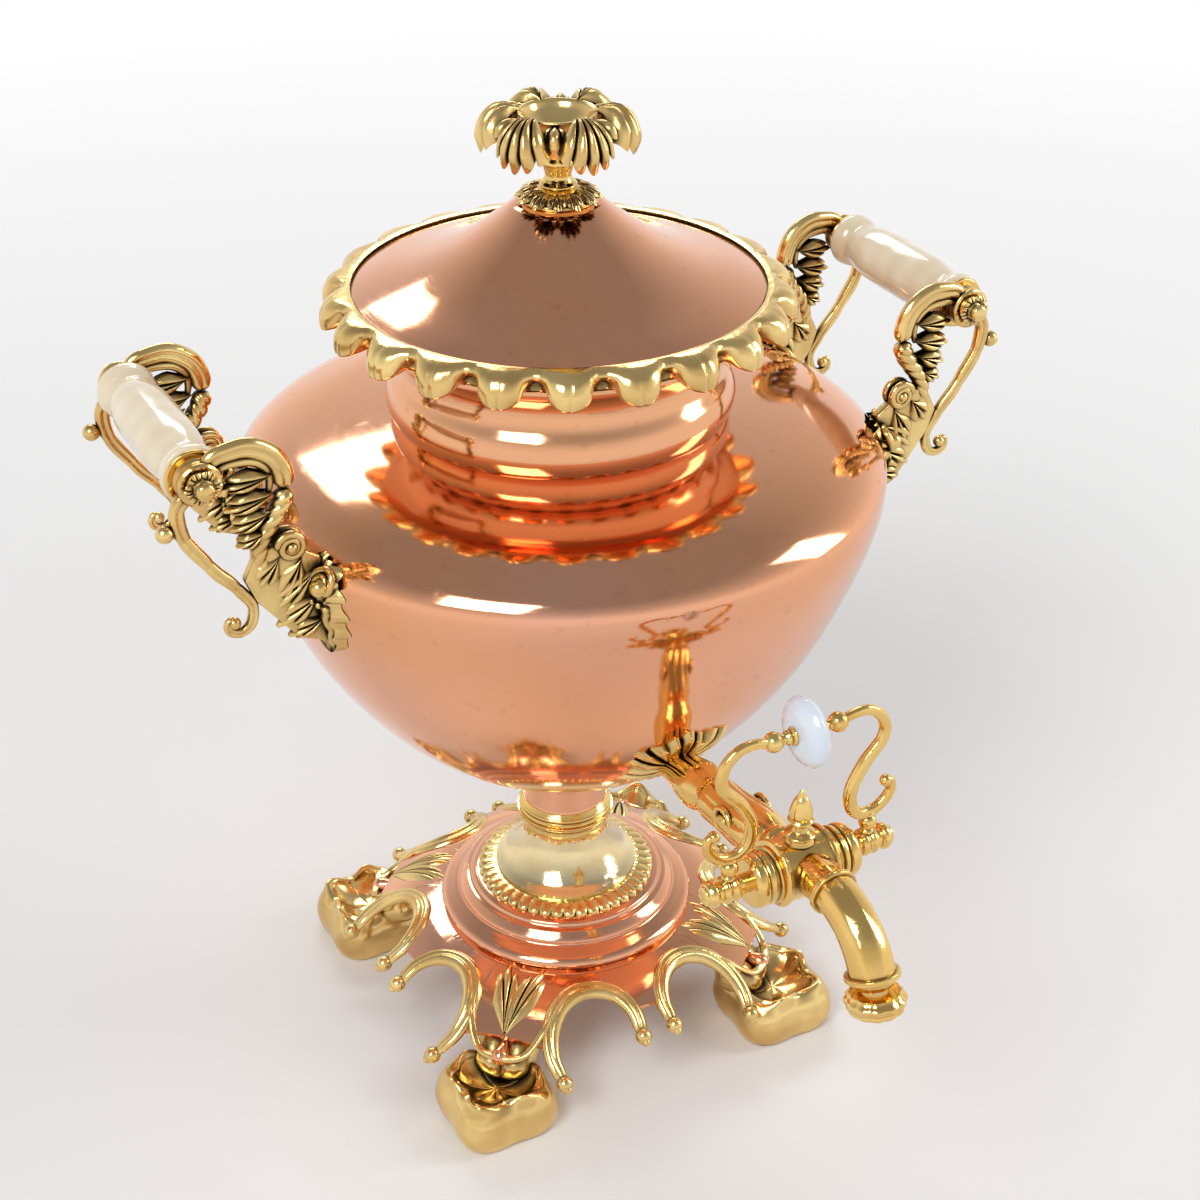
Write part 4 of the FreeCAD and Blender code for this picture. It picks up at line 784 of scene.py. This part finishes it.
bm = bmesh.new()
low, high = FERRULE_Z, CROWN_Z
lathe(bm, [[(0, low), (6.4, low)],
           [(7.2, low + 3), (9.5, low + 8), (13.7, high - 4.6), (14.8, high - 2.2)],
           [(14.2, high - 1.6), (13.0, high - 2.2)],
           [(10.6, high - 5.2), (6, low + 9.8), (0, low + 8.6)]], 96)
LEAVES = 6
for k in range(LEAVES):
    bearing = k * TURN / LEAVES
    fan_leaf(bm, on_dome(bearing + TURN / 12), DOME_LONG, 11.5, 5, 2.2, 1.1, start=0.05, rows=26)
    fan_leaf(bm, on_dome(bearing, 2.6), 0.60 * DOME_LONG, 6.0, 2, 1.8, 1.2, start=0.1)
piece("crown_skin", bm, "lid", "cast_brass", ("finial_crown",))

# %% [markdown]
# ## The handles
# A turned ceramic grip is held between two pierced brackets. Each bracket is a C-scroll whose
# upper half is fluted and whose lower half is twisted like rope, a slim outer strut that ends
# in a curled ball, leaves stacked in the hollow of the C, and a leaf plate riveted to the bowl.
# One bracket is made and mirrored to the other three places.


# %% Bracket routes
def plane(dx, dz):
    return Vector((GRIP_X + dx, PLANE_Y, GRIP_Z + dz))


def bowl_x(y, z):
    """Where the bowl's skin is at this y and z, on the +X side."""
    for a, c in zip(bowl_curve, bowl_curve[1:]):
        if (a.z - z) * (c.z - z) <= 0 and a.z != c.z:
            radius = a.x + (c.x - a.x) * (z - a.z) / (c.z - a.z)
            return math.sqrt(max(0.0, radius * radius - y * y))
    return 0.0


SCROLL_TOP = [plane(*p) for p in ((-2, 4), (-6, 7.6), (-11, 8.7), (-16.5, 9), (-21, 7.5),
                                  (-25.5, 4.2), (-28, 0.5), (-29.4, -4), (-29.5, -9))]
SCROLL_ROPE = [plane(*p) for p in ((-29.5, -9), (-28.6, -13.5), (-26, -18), (-22.4, -22.6),
                                   (-19.7, -27), (-18.6, -32), (-19, -37), (-21.5, -41))]
INNER_RIB = [plane(*p) for p in ((-3, 0.5), (-8, 3.4), (-13, 4.2), (-19, 3.4), (-23.2, 0),
                                 (-24.6, -5), (-23.5, -11))]
STRUT = [plane(*p) for p in ((4, -3), (8, -8), (8.6, -13), (7.4, -19), (5, -24), (1, -30),
                             (-3, -36), (-7.4, -41), (-11, -46), (-14, -50.5), (-14.5, -55),
                             (-13, -59.5), (-9.5, -61.6), (-5.8, -60.4), (-5, -57.2),
                             (-7.6, -55.6))]
# Start (out, up) from the grip's axis, heading in degrees, length and half-width of each leaf
BRACKET_LEAVES = [(-25, -2, -8, 18, 4.6), (-25, -9, -14, 18, 4.8), (-23, -16, -20, 15, 4.6),
                  (-20.5, -23, -26, 11, 4.0), (-25, -34, -52, 15, 6.0), (-33, -36, -66, 20, 7.0),
                  (-38, -42, -40, 22, 6.4), (-39, -52, -34, 20, 6.0), (-40, -62, -24, 15, 5.0)]


def on_web(dx, dz, lean, flip):
    """Lays a leaf on one face of the bracket, from a start beside the grip and at a lean."""
    heading = math.radians(lean)

    def surface(a, c, h):
        x = dx + a * math.cos(heading) - c * math.sin(heading)
        up = dz + a * math.sin(heading) + c * math.cos(heading)
        return plane(x, up) + Vector((0, flip * (1.7 + h), 0))
    return surface


def rope(angle):
    return 0.84 + 0.24 * abs(math.sin(1.5 * angle)) ** 0.7


def bracket_mesh():
    bm = bmesh.new()
    side = (0, 1, 0)
    lathe(bm, [[(ROD_R, -3.5), (7.2, -3.5)], [(8, -2.4), (7.4, 0), (8, 2.4), (7.2, 3.5)],
               [(ROD_R, 3.5)], [(ROD_R, -3.5)]], 48, aim((GRIP_X, PLANE_Y, GRIP_Z), side))
    sweep(bm, SCROLL_TOP, 3.6, side, fluted, lambda u: 0.75 + 0.30 * math.sin(math.pi * u * 0.7),
          around=40)
    sweep(bm, INNER_RIB, 1.7, side, None, lambda u: 0.6 + 0.5 * math.sin(math.pi * u))
    sweep(bm, SCROLL_ROPE, 3.7, side, rope, lambda u: 1.0 - 0.25 * u, turns=2.6, rows=110, around=36)
    sweep(bm, STRUT, 3.0, side, lambda a: 1 - 0.40 * abs(math.sin(a)) ** 9,
          lambda u: (1.0 - 0.45 * u) * (0.86 + 0.14 * abs(math.cos(7 * math.pi * u)) ** 0.5),
          rows=150, around=32)
    ball(bm, plane(-7.4, -57.4), 2.3)
    ball(bm, plane(13.3, -16.5), 3.2)
    sweep(bm, [plane(6.5, -14.8), plane(10, -15.8), plane(13, -16.5)], 1.6, side, rows=14)
    for flip in (-1, 1):
        for dx, dz, lean, length, width in BRACKET_LEAVES:
            fan_leaf(bm, on_web(dx, dz, lean, flip), length, width, 3, 2.1, 1.8)
    for flip in (-1, 1):
        eye = plane(-29.5, -31.5) + Vector((0, flip * 2.2, 0))
        spiral = [eye + Vector((x, 0, z)) for x, z in coil(22, 0.6, 5.4, 0.2)]
        sweep(bm, spiral, 1.5, side, rows=100, around=12)
        ball(bm, eye + Vector((0, flip * 0.8, 0)), 2.0)
    web(bm)
    leaf_plate(bm)
    return bm


# %% Web and leaf plate
WEB = [(-27, -29), (-17, -31), (-12, -41), (-15.5, -50), (-30, -69), (-42, -74), (-44, -60), (-40, -38)]


def web(bm):
    """The thick core that the bracket's leaves are cast on."""
    verts = [bm.verts.new(plane(*p) - Vector((0, 2.2, 0))) for p in WEB]
    face = bm.faces.new(verts)
    made = bmesh.ops.extrude_face_region(bm, geom=[face])["geom"]
    moved = [g for g in made if isinstance(g, bmesh.types.BMVert)]
    bmesh.ops.translate(bm, vec=(0, 4.4, 0), verts=moved)
    rim = {e for v in verts + moved for e in v.link_edges}
    bmesh.ops.bevel(bm, geom=list(rim), offset=0.9, offset_type="OFFSET", segments=2, profile=0.5,
                    affect="EDGES", material=-1)


PLATE_TOP, PLATE_TIP, PLATE_HALF = 271.0, 229.5, 12.6


def plate_point(u, row):
    """The leaf plate: folds run down it, its edge is notched and its tip is pointed."""
    s = 2 * u - 1
    in_front = row <= 0.5
    v = 2 * row if in_front else 2 - 2 * row
    notch = 1 - 0.13 * (1 - abs(math.cos(4.5 * math.pi * v)) ** 0.5)
    half = PLATE_HALF * math.sin(math.pi * min(1.0, 0.16 + 0.84 * v ** 0.9)) ** 0.6 * notch
    fold = abs(math.cos(2.5 * math.pi * s)) ** 0.7
    spread = 1.0 + 0.10 * abs(s) * math.sin(9 * math.pi * v)
    z = PLATE_TOP - (PLATE_TOP - PLATE_TIP) * v - 3.0 * abs(s) * (1 - v)
    y = PLANE_Y + s * half * spread
    fan = abs(math.cos(4.5 * math.pi * v + 2.4 * abs(s))) ** 0.6
    height = 0.2 + min(1.0, 4 * (1 - abs(s))) * (1.2 + 1.5 * fold + 1.6 * fan * abs(s) ** 0.5)
    return bowl_x(y, z) + (height if in_front else -0.4), y, z


def leaf_plate(bm):
    lay(bm, plate_point, 60, 120)
    for k in range(7):
        y = PLANE_Y - 9.0 + 3.0 * k
        ball(bm, (bowl_x(y, 254) + 4.4, y, 254.5 - 0.12 * (k - 3) ** 2), 1.35)
    for flip in (-1, 1):
        spiral = []
        for across, up in coil(20, 0.55, 5.2, 0.2):
            y, z = PLANE_Y + flip * (7.2 - across), 263.0 + up
            spiral.append(Vector((bowl_x(y, z) + 4.2, y, z)))
        sweep(bm, spiral, 1.35, (1, 0, 0.1), rows=90, around=12)


# %% Nuts with petals
NUT_R, NUT_H, NUT_PETALS = 6.8, 7.0, 6


def on_nut(spin):
    """Lays a petal on the nut's flare."""
    def surface(a, c, h):
        return spin @ Vector((1.6 + a, c, 1.4 + 0.22 * a + h))
    return surface


def add_nut(bm, at, out):
    seat = aim(at, out)
    lathe(bm, [[(0, 0), (0.66 * NUT_R, 0)],
               [(0.7 * NUT_R, 0.2 * NUT_H), (0.5 * NUT_R, 0.34 * NUT_H),
                (0.40 * NUT_R, 0.42 * NUT_H)],
               [(0.50 * NUT_R, 0.62 * NUT_H), (0.40 * NUT_R, 0.86 * NUT_H), (0, NUT_H)]], 40, seat)
    for k in range(NUT_PETALS):
        spin = seat @ Matrix.Rotation(k * TURN / NUT_PETALS, 4, "Z")
        fan_leaf(bm, on_nut(spin), 5.2, 3.0, 3, 0.7, 0.7, rows=8)


# %% Outline of a grip, from its rear end to its front one
GRIP_R, GRIP_NECK, ROD_R = 11.0, 8.6, 2.1
GRIP_RING = 6.0 - GRIP_HALF
grip_end = [(ROD_R, -GRIP_HALF), (GRIP_R - 1.8, -GRIP_HALF)]
grip_ring = [grip_end[1], (GRIP_R - 0.4, 0.6 - GRIP_HALF), (GRIP_R - 0.1, 2.0 - GRIP_HALF),
             (GRIP_R - 0.4, 3.6 - GRIP_HALF), (GRIP_NECK + 1.5, GRIP_RING - 0.6),
             (GRIP_NECK + 0.4, GRIP_RING + 1)]
grip_barrel = [grip_ring[-1], (GRIP_NECK, GRIP_RING + 3.2), (GRIP_NECK + 1.3, GRIP_RING + 9),
               (GRIP_R - 0.1, -0.38 * GRIP_HALF), (GRIP_R, 0)]
GRIP_LINE = [grip_end, grip_ring, grip_barrel + mirrored(grip_barrel)[1:], mirrored(grip_ring),
             mirrored(grip_end), grip_end[:1]]


# %% Place both handles
for x_side, side_name in ((1, "right"), (-1, "left")):
    for y_side, end_name in ((-1, "front"), (1, "rear")):
        bm = bracket_mesh()
        bmesh.ops.scale(bm, vec=(x_side, y_side, 1), verts=bm.verts)
        piece("bracket_%s_%s" % (side_name, end_name), bm, "urn", "cast_brass",
              ("handle_%s_%s_bracket" % (side_name, end_name),))
    bm = bmesh.new()
    for s in (-1, 1):
        add_nut(bm, (x_side * GRIP_X, s * (GRIP_HALF + 8.5), GRIP_Z), (0, s, 0))
    piece("nuts_skin_" + side_name, bm, "urn", "cast_brass", ("handle_%s_nuts" % side_name,))
    turned("grip_skin_" + side_name, GRIP_LINE, "urn", "grip_ceramic", "handle_%s_grip" % side_name,
           place=aim((x_side * GRIP_X, 0, GRIP_Z), (0, 1, 0)))

# %% [markdown]
# ## The tap
# The pipe leaves a leafy plate on the bowl, is wrapped in a shell of leaves, and meets a cross
# barrel with ringed glands. A softly faceted spout bends down to a scalloped lip, and a
# pointed acorn stands on the barrel.

# %% Pipe, barrel and spout
PIPE_AT = Vector((0, -86, 172))
BARREL_AT = Vector((0, TAP_Y, TAP_Z))
PIPE_LINE = BARREL_AT - PIPE_AT
PIPE_LONG = PIPE_LINE.length
NOZZLE_AT = Vector((0, -227, 166))
NOZZLE_DIR = Vector((0, -0.22, -1)).normalized()


def wrapped(co, angle, radius):
    """Eight leaves folded round the pipe, deepest in the middle of their length."""
    share = co.z / PIPE_LONG
    depth = max(0.0, 1 - abs(share - 0.62) / 0.22)
    fold = abs(math.cos(4 * angle + 5 * abs(share - 0.62)))
    grow = 1 + 0.16 * depth ** 0.6 * (fold ** 0.6 - 0.35)
    return Vector((co.x * grow, co.y * grow, co.z))


def facets(angle):
    """Half way between a circle and an octagon."""
    eighth = TURN / 8
    octagon = math.cos(eighth / 2) / math.cos(angle % eighth - eighth / 2)
    return 0.45 + 0.55 * octagon


PIPE_R = 9.0
bm = bmesh.new()
lathe(bm, [[(0, -1), (0.74 * PIPE_R, -1)],
           [(0.76 * PIPE_R, 0.12 * PIPE_LONG), (1.05 * PIPE_R, 0.28 * PIPE_LONG),
            (0.86 * PIPE_R, 0.38 * PIPE_LONG), (0.95 * PIPE_R, 0.42 * PIPE_LONG)],
           [(0.92 * PIPE_R, 0.55 * PIPE_LONG), (1.02 * PIPE_R, 0.74 * PIPE_LONG),
            (0.86 * PIPE_R, 0.84 * PIPE_LONG)],
           [(0.98 * PIPE_R, 0.87 * PIPE_LONG), (0.88 * PIPE_R, 0.9 * PIPE_LONG),
            (0.88 * PIPE_R, PIPE_LONG)], [(0, PIPE_LONG)]], 128, aim(PIPE_AT, PIPE_LINE), wrapped,
      12)
lathe(bm, [[(3.6, -11), (10.6, -11)], [(12, -10.2), (12, -8.8)],
           [(11.2, -8.2), (11.5, 0), (11.2, 8.2), (12, 8.8)], [(12, 10.2), (10.6, 11)], [(3.6, 11)],
           [(3.6, -11)]], 72, aim(BARREL_AT, (1, 0, 0)))
SPOUT = [BARREL_AT + Vector((0, -3.6, 0.8)), Vector((0, -190, 187.6)), Vector((0, -202, 188.0)),
         Vector((0, -212, 185.2)), Vector((0, -219.5, 179.6)), Vector((0, -224.4, 172.5)),
         Vector((0, -227, 165.6))]
sweep(bm, SPOUT, 8.1, (1, 0, 0), facets, lambda u: 0.94 + 0.10 * u, rows=80, around=48)
for share, radius in ((0.30, 8.9), (0.86, 9.6)):
    at = along(smooth(SPOUT, 10), share)
    ahead = along(smooth(SPOUT, 10), share + 0.03) - at
    lathe(bm, [[(4, -1.1), (radius - 0.5, -1.1), (radius, 0), (radius - 0.5, 1.1), (4, 1.1)]], 48,
          aim(at, ahead))
lathe(bm, [[(0, 0), (5.4, 0)], [(4.6, 1.4), (4.4, 2.2), (0, 2.2)]], 40,
      aim(BARREL_AT + Vector((0, 0, 11)), UP))
for s in (-1, 1):
    leaf_roll = [Vector((s * 8.3, -141 - back, 181 + up)) for back, up in coil(20, 0.5, 6.2, 0.28)]
    sweep(bm, leaf_roll, 1.1, (1, 0, 0), rows=80, around=10)
piece("tap_skin", bm, "urn", "bright_brass", ("tap_body",))

# %% Lip, glands and acorn
SCALLOPS, SCALLOP_IN = 12, 8.0


def scalloped(co, angle, radius):
    wave = 1 - 0.05 * (1 - abs(math.cos(0.5 * SCALLOPS * angle))) if radius > SCALLOP_IN else 1.0
    return Vector((co.x * wave, co.y * wave, co.z))


LIP_R, LIP_H, LIP_HOLE = 10.8, 7.0, 4.6
turned("lip_skin",
       [[(LIP_HOLE, 0), (8.8, 0)], [(LIP_R - 1.4, 1.0), (LIP_R, 2.6), (LIP_R - 0.5, 4.4)],
        [(LIP_R - 1.0, 5.0), (LIP_R - 0.9, 6.0), (LIP_R - 1.6, LIP_H)], [(LIP_HOLE + 1.4, LIP_H)],
        [(LIP_HOLE, 1.5)], [(LIP_HOLE, 0)]], "urn", "bright_brass", "tap_nozzle_ring",
       relief=scalloped, place=aim(NOZZLE_AT, NOZZLE_DIR))
GLAND_R, PLUG_R = 9.8, 3.55
for s, name in ((1, "right"), (-1, "left")):
    turned("gland_skin_" + name,
           [[(PLUG_R, 0), (GLAND_R - 0.8, 0)], [(GLAND_R + 0.5, 0.9), (GLAND_R - 0.8, 1.8)],
            [(GLAND_R - 0.9, 2.4)], [(GLAND_R, 3.1), (GLAND_R - 0.3, 4.6)], [(GLAND_R - 1.0, 5.2)],
            [(GLAND_R, 6.0), (GLAND_R - 0.1, 8.4), (GLAND_R - 1.4, 10)], [(PLUG_R, 10)],
            [(PLUG_R, 0)]], "urn", "bright_brass", "tap_gland_" + name, steps=64,
           place=aim(BARREL_AT + Vector((s * 11, 0, 0)), (s, 0, 0)))
ACORN_R, ACORN_H = 4.6, 19.0
turned("acorn_skin",
       [[(0, 0), (ACORN_R + 0.6, 0)], [(ACORN_R + 0.8, 0.8), (ACORN_R - 1.4, 2.2)],
        [(ACORN_R - 2.2, 4.2), (ACORN_R - 0.6, 5.4)], [(ACORN_R, 6.4), (ACORN_R - 0.7, 7.3)],
        [(ACORN_R - 0.5, 9.5), (0.62 * ACORN_R, 14), (0.3 * ACORN_R, ACORN_H - 2.6),
         (0.22 * ACORN_R, ACORN_H - 1.4), (0, ACORN_H)]], "urn", "bright_brass", "tap_acorn",
       steps=48, place=aim(BARREL_AT + Vector((0, 0, 13.2)), UP))

# %% Leafy plate on the bowl
PLATE_LOBES = [(90, 24, 10), (38, 26, 9), (142, 26, 9), (-20, 20, 8), (200, 20, 8), (-58, 15, 7),
               (238, 15, 7), (-90, 13, 6)]


def on_bowl(heading):
    """Lays a leaf on the bowl's front, from where the pipe leaves it."""
    def surface(a, c, h):
        x = a * math.cos(heading) - c * math.sin(heading)
        z = PIPE_AT.z + a * math.sin(heading) + c * math.cos(heading)
        return Vector((x, -bowl_x(x, z) - 1.2 - h, z))
    return surface


bm = bmesh.new()
for lean, length, width in PLATE_LOBES:
    fan_leaf(bm, on_bowl(math.radians(lean)), length, width, 3, 3.0, 2.6, rows=18)
piece("tap_plate_skin", bm, "urn", "cast_brass", ("tap_escutcheon",))

# %% [markdown]
# ## The key
# The key turns with the plug: two S-scroll arms rise from the spindle and hold a crossbar with
# a lens of milky ceramic on it. Everything here rides on the key's own body.

# %% Arms, bar, disc and knobs
ARM_FOOT_X = 28.0
ARM = [(12.6, 0), (20.5, 1.4), (26, 0.6), (30.4, -3.2), (32.3, -8.5), (31.4, -13), (28.5, -16.6),
       (25, -20.6), (22.4, -25), (20.2, -30), (19.8, -35), (21.4, -39.6), (25.2, -42.4),
       (30, -42.4), (34, -40), (36.6, -36.4), (36.6, -32.6), (34.2, -31)]
for s, name in ((1, "right"), (-1, "left")):
    bm = bmesh.new()
    route = [Vector((s * x, TAP_Y, DISC_Z + z)) for x, z in ARM]
    sweep(bm, route, 1.95, (0, 1, 0), lambda a: 1 - 0.18 * abs(math.sin(a)) ** 6,
          lambda u: 0.85 + 0.4 * math.sin(math.pi * u), rows=130)
    ball(bm, (s * 34.4, TAP_Y, DISC_Z - 31.4), 2.2)
    ball(bm, (s * 12.6, TAP_Y, DISC_Z), 3.6)
    ball(bm, (s * ARM_FOOT_X, TAP_Y, TAP_Z + 8.8), 3.3)
    lathe(bm, [[(3.5, -3.2), (4.4, -3.2)], [(5.0, -1.6), (4.3, 0), (5.0, 1.6), (4.4, 3.2)],
               [(3.5, 3.2)], [(3.5, -3.2)]], 40, aim((s * ARM_FOOT_X, TAP_Y, TAP_Z), (1, 0, 0)))
    lathe(bm, [[(1.9, 3.6), (2.6, 5), (1.7, 6.4)], [(1.7, 9)],
               [(1.5, 11), (2.4, 12.2), (1.6, 13.6)]], 24, aim((s * ARM_FOOT_X, TAP_Y, TAP_Z), UP))
    piece("key_arm_skin_" + name, bm, "tap_key", "bright_brass", ("key_arm_" + name,))
bm = bmesh.new()
lathe(bm, [[(0, -11), (1.8, -11)], [(1.8, 11)], [(0, 11)]], 24, aim((0, TAP_Y, DISC_Z), (1, 0, 0)))
for s in (-1, 1):
    lathe(bm, [[(1.8, 0), (2.9, 0)], [(3.3, 0.7), (2.2, 1.6)], [(2.7, 2.6), (1.9, 3.9)]], 32,
          aim((s * 4.62, TAP_Y, DISC_Z), (s, 0, 0)))
piece("key_bar_skin", bm, "tap_key", "bright_brass", ("key_bar",))
DISC_R, DISC_T, BAR_HOLE = 12.5, 4.6, 1.85
disc_half = [(0.42 * DISC_R, -DISC_T), (0.62 * DISC_R, -0.90 * DISC_T), (0.85 * DISC_R, -0.6 * DISC_T),
             (0.97 * DISC_R, -0.24 * DISC_T), (DISC_R, 0)]
turned("disc_skin",
       [[(BAR_HOLE, -DISC_T), disc_half[0]], disc_half + mirrored(disc_half)[1:],
        [(BAR_HOLE, DISC_T)], [(BAR_HOLE, -DISC_T)]], "tap_key", "disc_ceramic", "key_disc",
       steps=72, place=aim((0, TAP_Y, DISC_Z), (1, 0, 0)))
bm = bmesh.new()
for s in (-1, 1):
    lathe(bm, [[(0, 0), (4.0, 0)], [(4.8, 1.0), (4.8, 2.4), (4.2, 3.6)], [(3.6, 3.9)],
               [(3.3, 4.7), (2.0, 5.2), (1.2, 4.7), (0, 4.9)]], 48,
          aim((s * 33, TAP_Y, TAP_Z), (s, 0, 0)))
piece("knob_skin", bm, "tap_key", "bright_brass", ("key_knobs",))

# %% [markdown]
# ## The pieces that keep their solids
# Rods, nuts, washers, rivets and everything inside the bowl are shown by their solids. They
# only need the finish of what they are made of.

# %% Paint the solids that are left
KEPT = {"handle_left_ferrules": BRIGHT_BRASS, "handle_right_ferrules": BRIGHT_BRASS,
        "handle_left_rod": STEEL, "handle_right_rod": STEEL, "handle_rivets": CAST_BRASS,
        "handle_pads": TINNED, "tap_plug": BRIGHT_BRASS, "tap_saddle": TINNED, "tap_washer": FIBRE,
        "tap_nut": BRIGHT_BRASS, "tie_rod": STEEL, "tie_nut": STEEL, "tie_washer": STEEL,
        "bowl_boss": TINNED, "heater_sleeve": TINNED, "sleeve_cap": DEEP_COPPER,
        "heating_iron": IRON, "lid_flange": DEEP_COPPER, "finial_stud": STEEL,
        "finial_washer": BRIGHT_BRASS, "finial_nut": BRIGHT_BRASS}
for name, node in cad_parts.items():
    node.data.materials.clear()
    node.data.materials.append(KEPT.get(name, CAST_BRASS))
print("solids painted:", len(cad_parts), "of which shown:", len(KEPT))

# %% [markdown]
# ## Floor, light and camera
# A pale floor fades to white away from the urn, so the background has no horizon. Metal needs
# something to reflect, so the room is bright at the horizon and greyer overhead, and three large
# soft lamps give long highlights. The lens, the metal and the glaze see a whiter horizon than the
# one that lights the urn. The camera stands where the photograph was taken.


# %% Floor
FLOOR_HALF, FADE_FROM, FADE_TO = 6.0, 0.42, 1.5
floor_bm = bmesh.new()
bmesh.ops.create_grid(floor_bm, x_segments=2, y_segments=2, size=FLOOR_HALF)
floor_mesh = bpy.data.meshes.new("floor")
floor_bm.to_mesh(floor_mesh)
floor_bm.free()
floor = bpy.data.objects.new("floor", floor_mesh)
scene.collection.objects.link(floor)
paper = Finish("pale floor", Specular_IOR_Level=0.15)
paper.paint(paper.mix(paper.noise(3.0), (0.80, 0.79, 0.78, 1), (0.83, 0.82, 0.81, 1)), 0.7)
away = paper.node("VectorMath", {"operation": "LENGTH"}, {0: paper.place}, out="Value")
seen = paper.node("LightPath", out="Is Camera Ray") + paper.node("LightPath", out="Is Glossy Ray")
seen += paper.node("LightPath", out="Is Transmission Ray")
glow = paper.node("Emission", {}, {"Color": (1, 1, 1, 1), "Strength": 1.0})
lit = Value(paper, paper.shader.outputs[0])
faded = paper.node("MixShader", {}, {0: paper.between(away, FADE_FROM, FADE_TO) * seen, 1: lit, 2: glow})
paper.tree.links.new(faded.socket, paper.tree.nodes["Material Output"].inputs["Surface"])
floor.data.materials.append(paper.material)

# %% The room round it
world = bpy.data.worlds.new("studio")
scene.world = world
world.use_nodes = True
room = world.node_tree
split = room.nodes.new("ShaderNodeSeparateXYZ")
room.links.new(room.nodes.new("ShaderNodeTexCoord").outputs["Generated"], split.inputs[0])


def sky(start, low, end, high):
    """One colour near the horizon, another overhead, by the height of the look."""
    ramp = room.nodes.new("ShaderNodeValToRGB")
    for stop, at, colour in zip(ramp.color_ramp.elements, (start, end), (low, high)):
        stop.position = at
        stop.color = colour
    room.links.new(split.outputs["Z"], ramp.inputs[0])
    return ramp.outputs[0]


def added(one, other):
    total = room.nodes.new("ShaderNodeMath")
    total.operation = "ADD"
    room.links.new(one, total.inputs[0])
    room.links.new(other, total.inputs[1])
    return total.outputs[0]


path = room.nodes.new("ShaderNodeLightPath").outputs
blend = room.nodes.new("ShaderNodeMix")
blend.data_type = "RGBA"
shown = added(added(path["Is Camera Ray"], path["Is Glossy Ray"]), path["Is Transmission Ray"])
room.links.new(shown, blend.inputs[0])
room.links.new(sky(0.0, (0.95, 0.94, 0.92, 1), 0.75, (0.34, 0.35, 0.37, 1)), blend.inputs[6])
room.links.new(sky(0.12, (1, 1, 1, 1), 0.8, (0.34, 0.35, 0.37, 1)), blend.inputs[7])
room.links.new(blend.outputs[2], room.nodes["Background"].inputs["Color"])
room.nodes["Background"].inputs["Strength"].default_value = 1.0


# %% Lamps and camera
LIT_SPOT = Vector((0, 0, 0.2))


def lamp(name, at, size, power):
    light = bpy.data.lights.new(name, "AREA")
    light.shape = "RECTANGLE"
    light.size, light.size_y = size
    light.energy = power
    obj = bpy.data.objects.new(name, light)
    obj.location = at
    obj.rotation_euler = (LIT_SPOT - Vector(at)).to_track_quat("-Z", "Y").to_euler()
    scene.collection.objects.link(obj)


lamp("key light", (-1.3, -0.9, 1.7), (0.9, 0.9), 22)
lamp("side light", (1.6, -0.6, 1.0), (0.5, 1.2), 11)
lamp("back light", (0.5, 1.6, 1.5), (1.2, 0.5), 12)

CAMERA_AT, TILT, BEARING, LENS = (-0.3270, -0.6496, 0.6370), 58.74, -27.91, 62.83
camera = bpy.data.objects.new("camera", bpy.data.cameras.new("camera"))
camera.location = CAMERA_AT
camera.rotation_euler = (math.radians(TILT), 0, math.radians(BEARING))
camera.data.lens = LENS
camera.data.clip_start = 0.01
scene.collection.objects.link(camera)
scene.camera = camera
scene.view_settings.view_transform = "Standard"
print("camera at", tuple(camera.location))
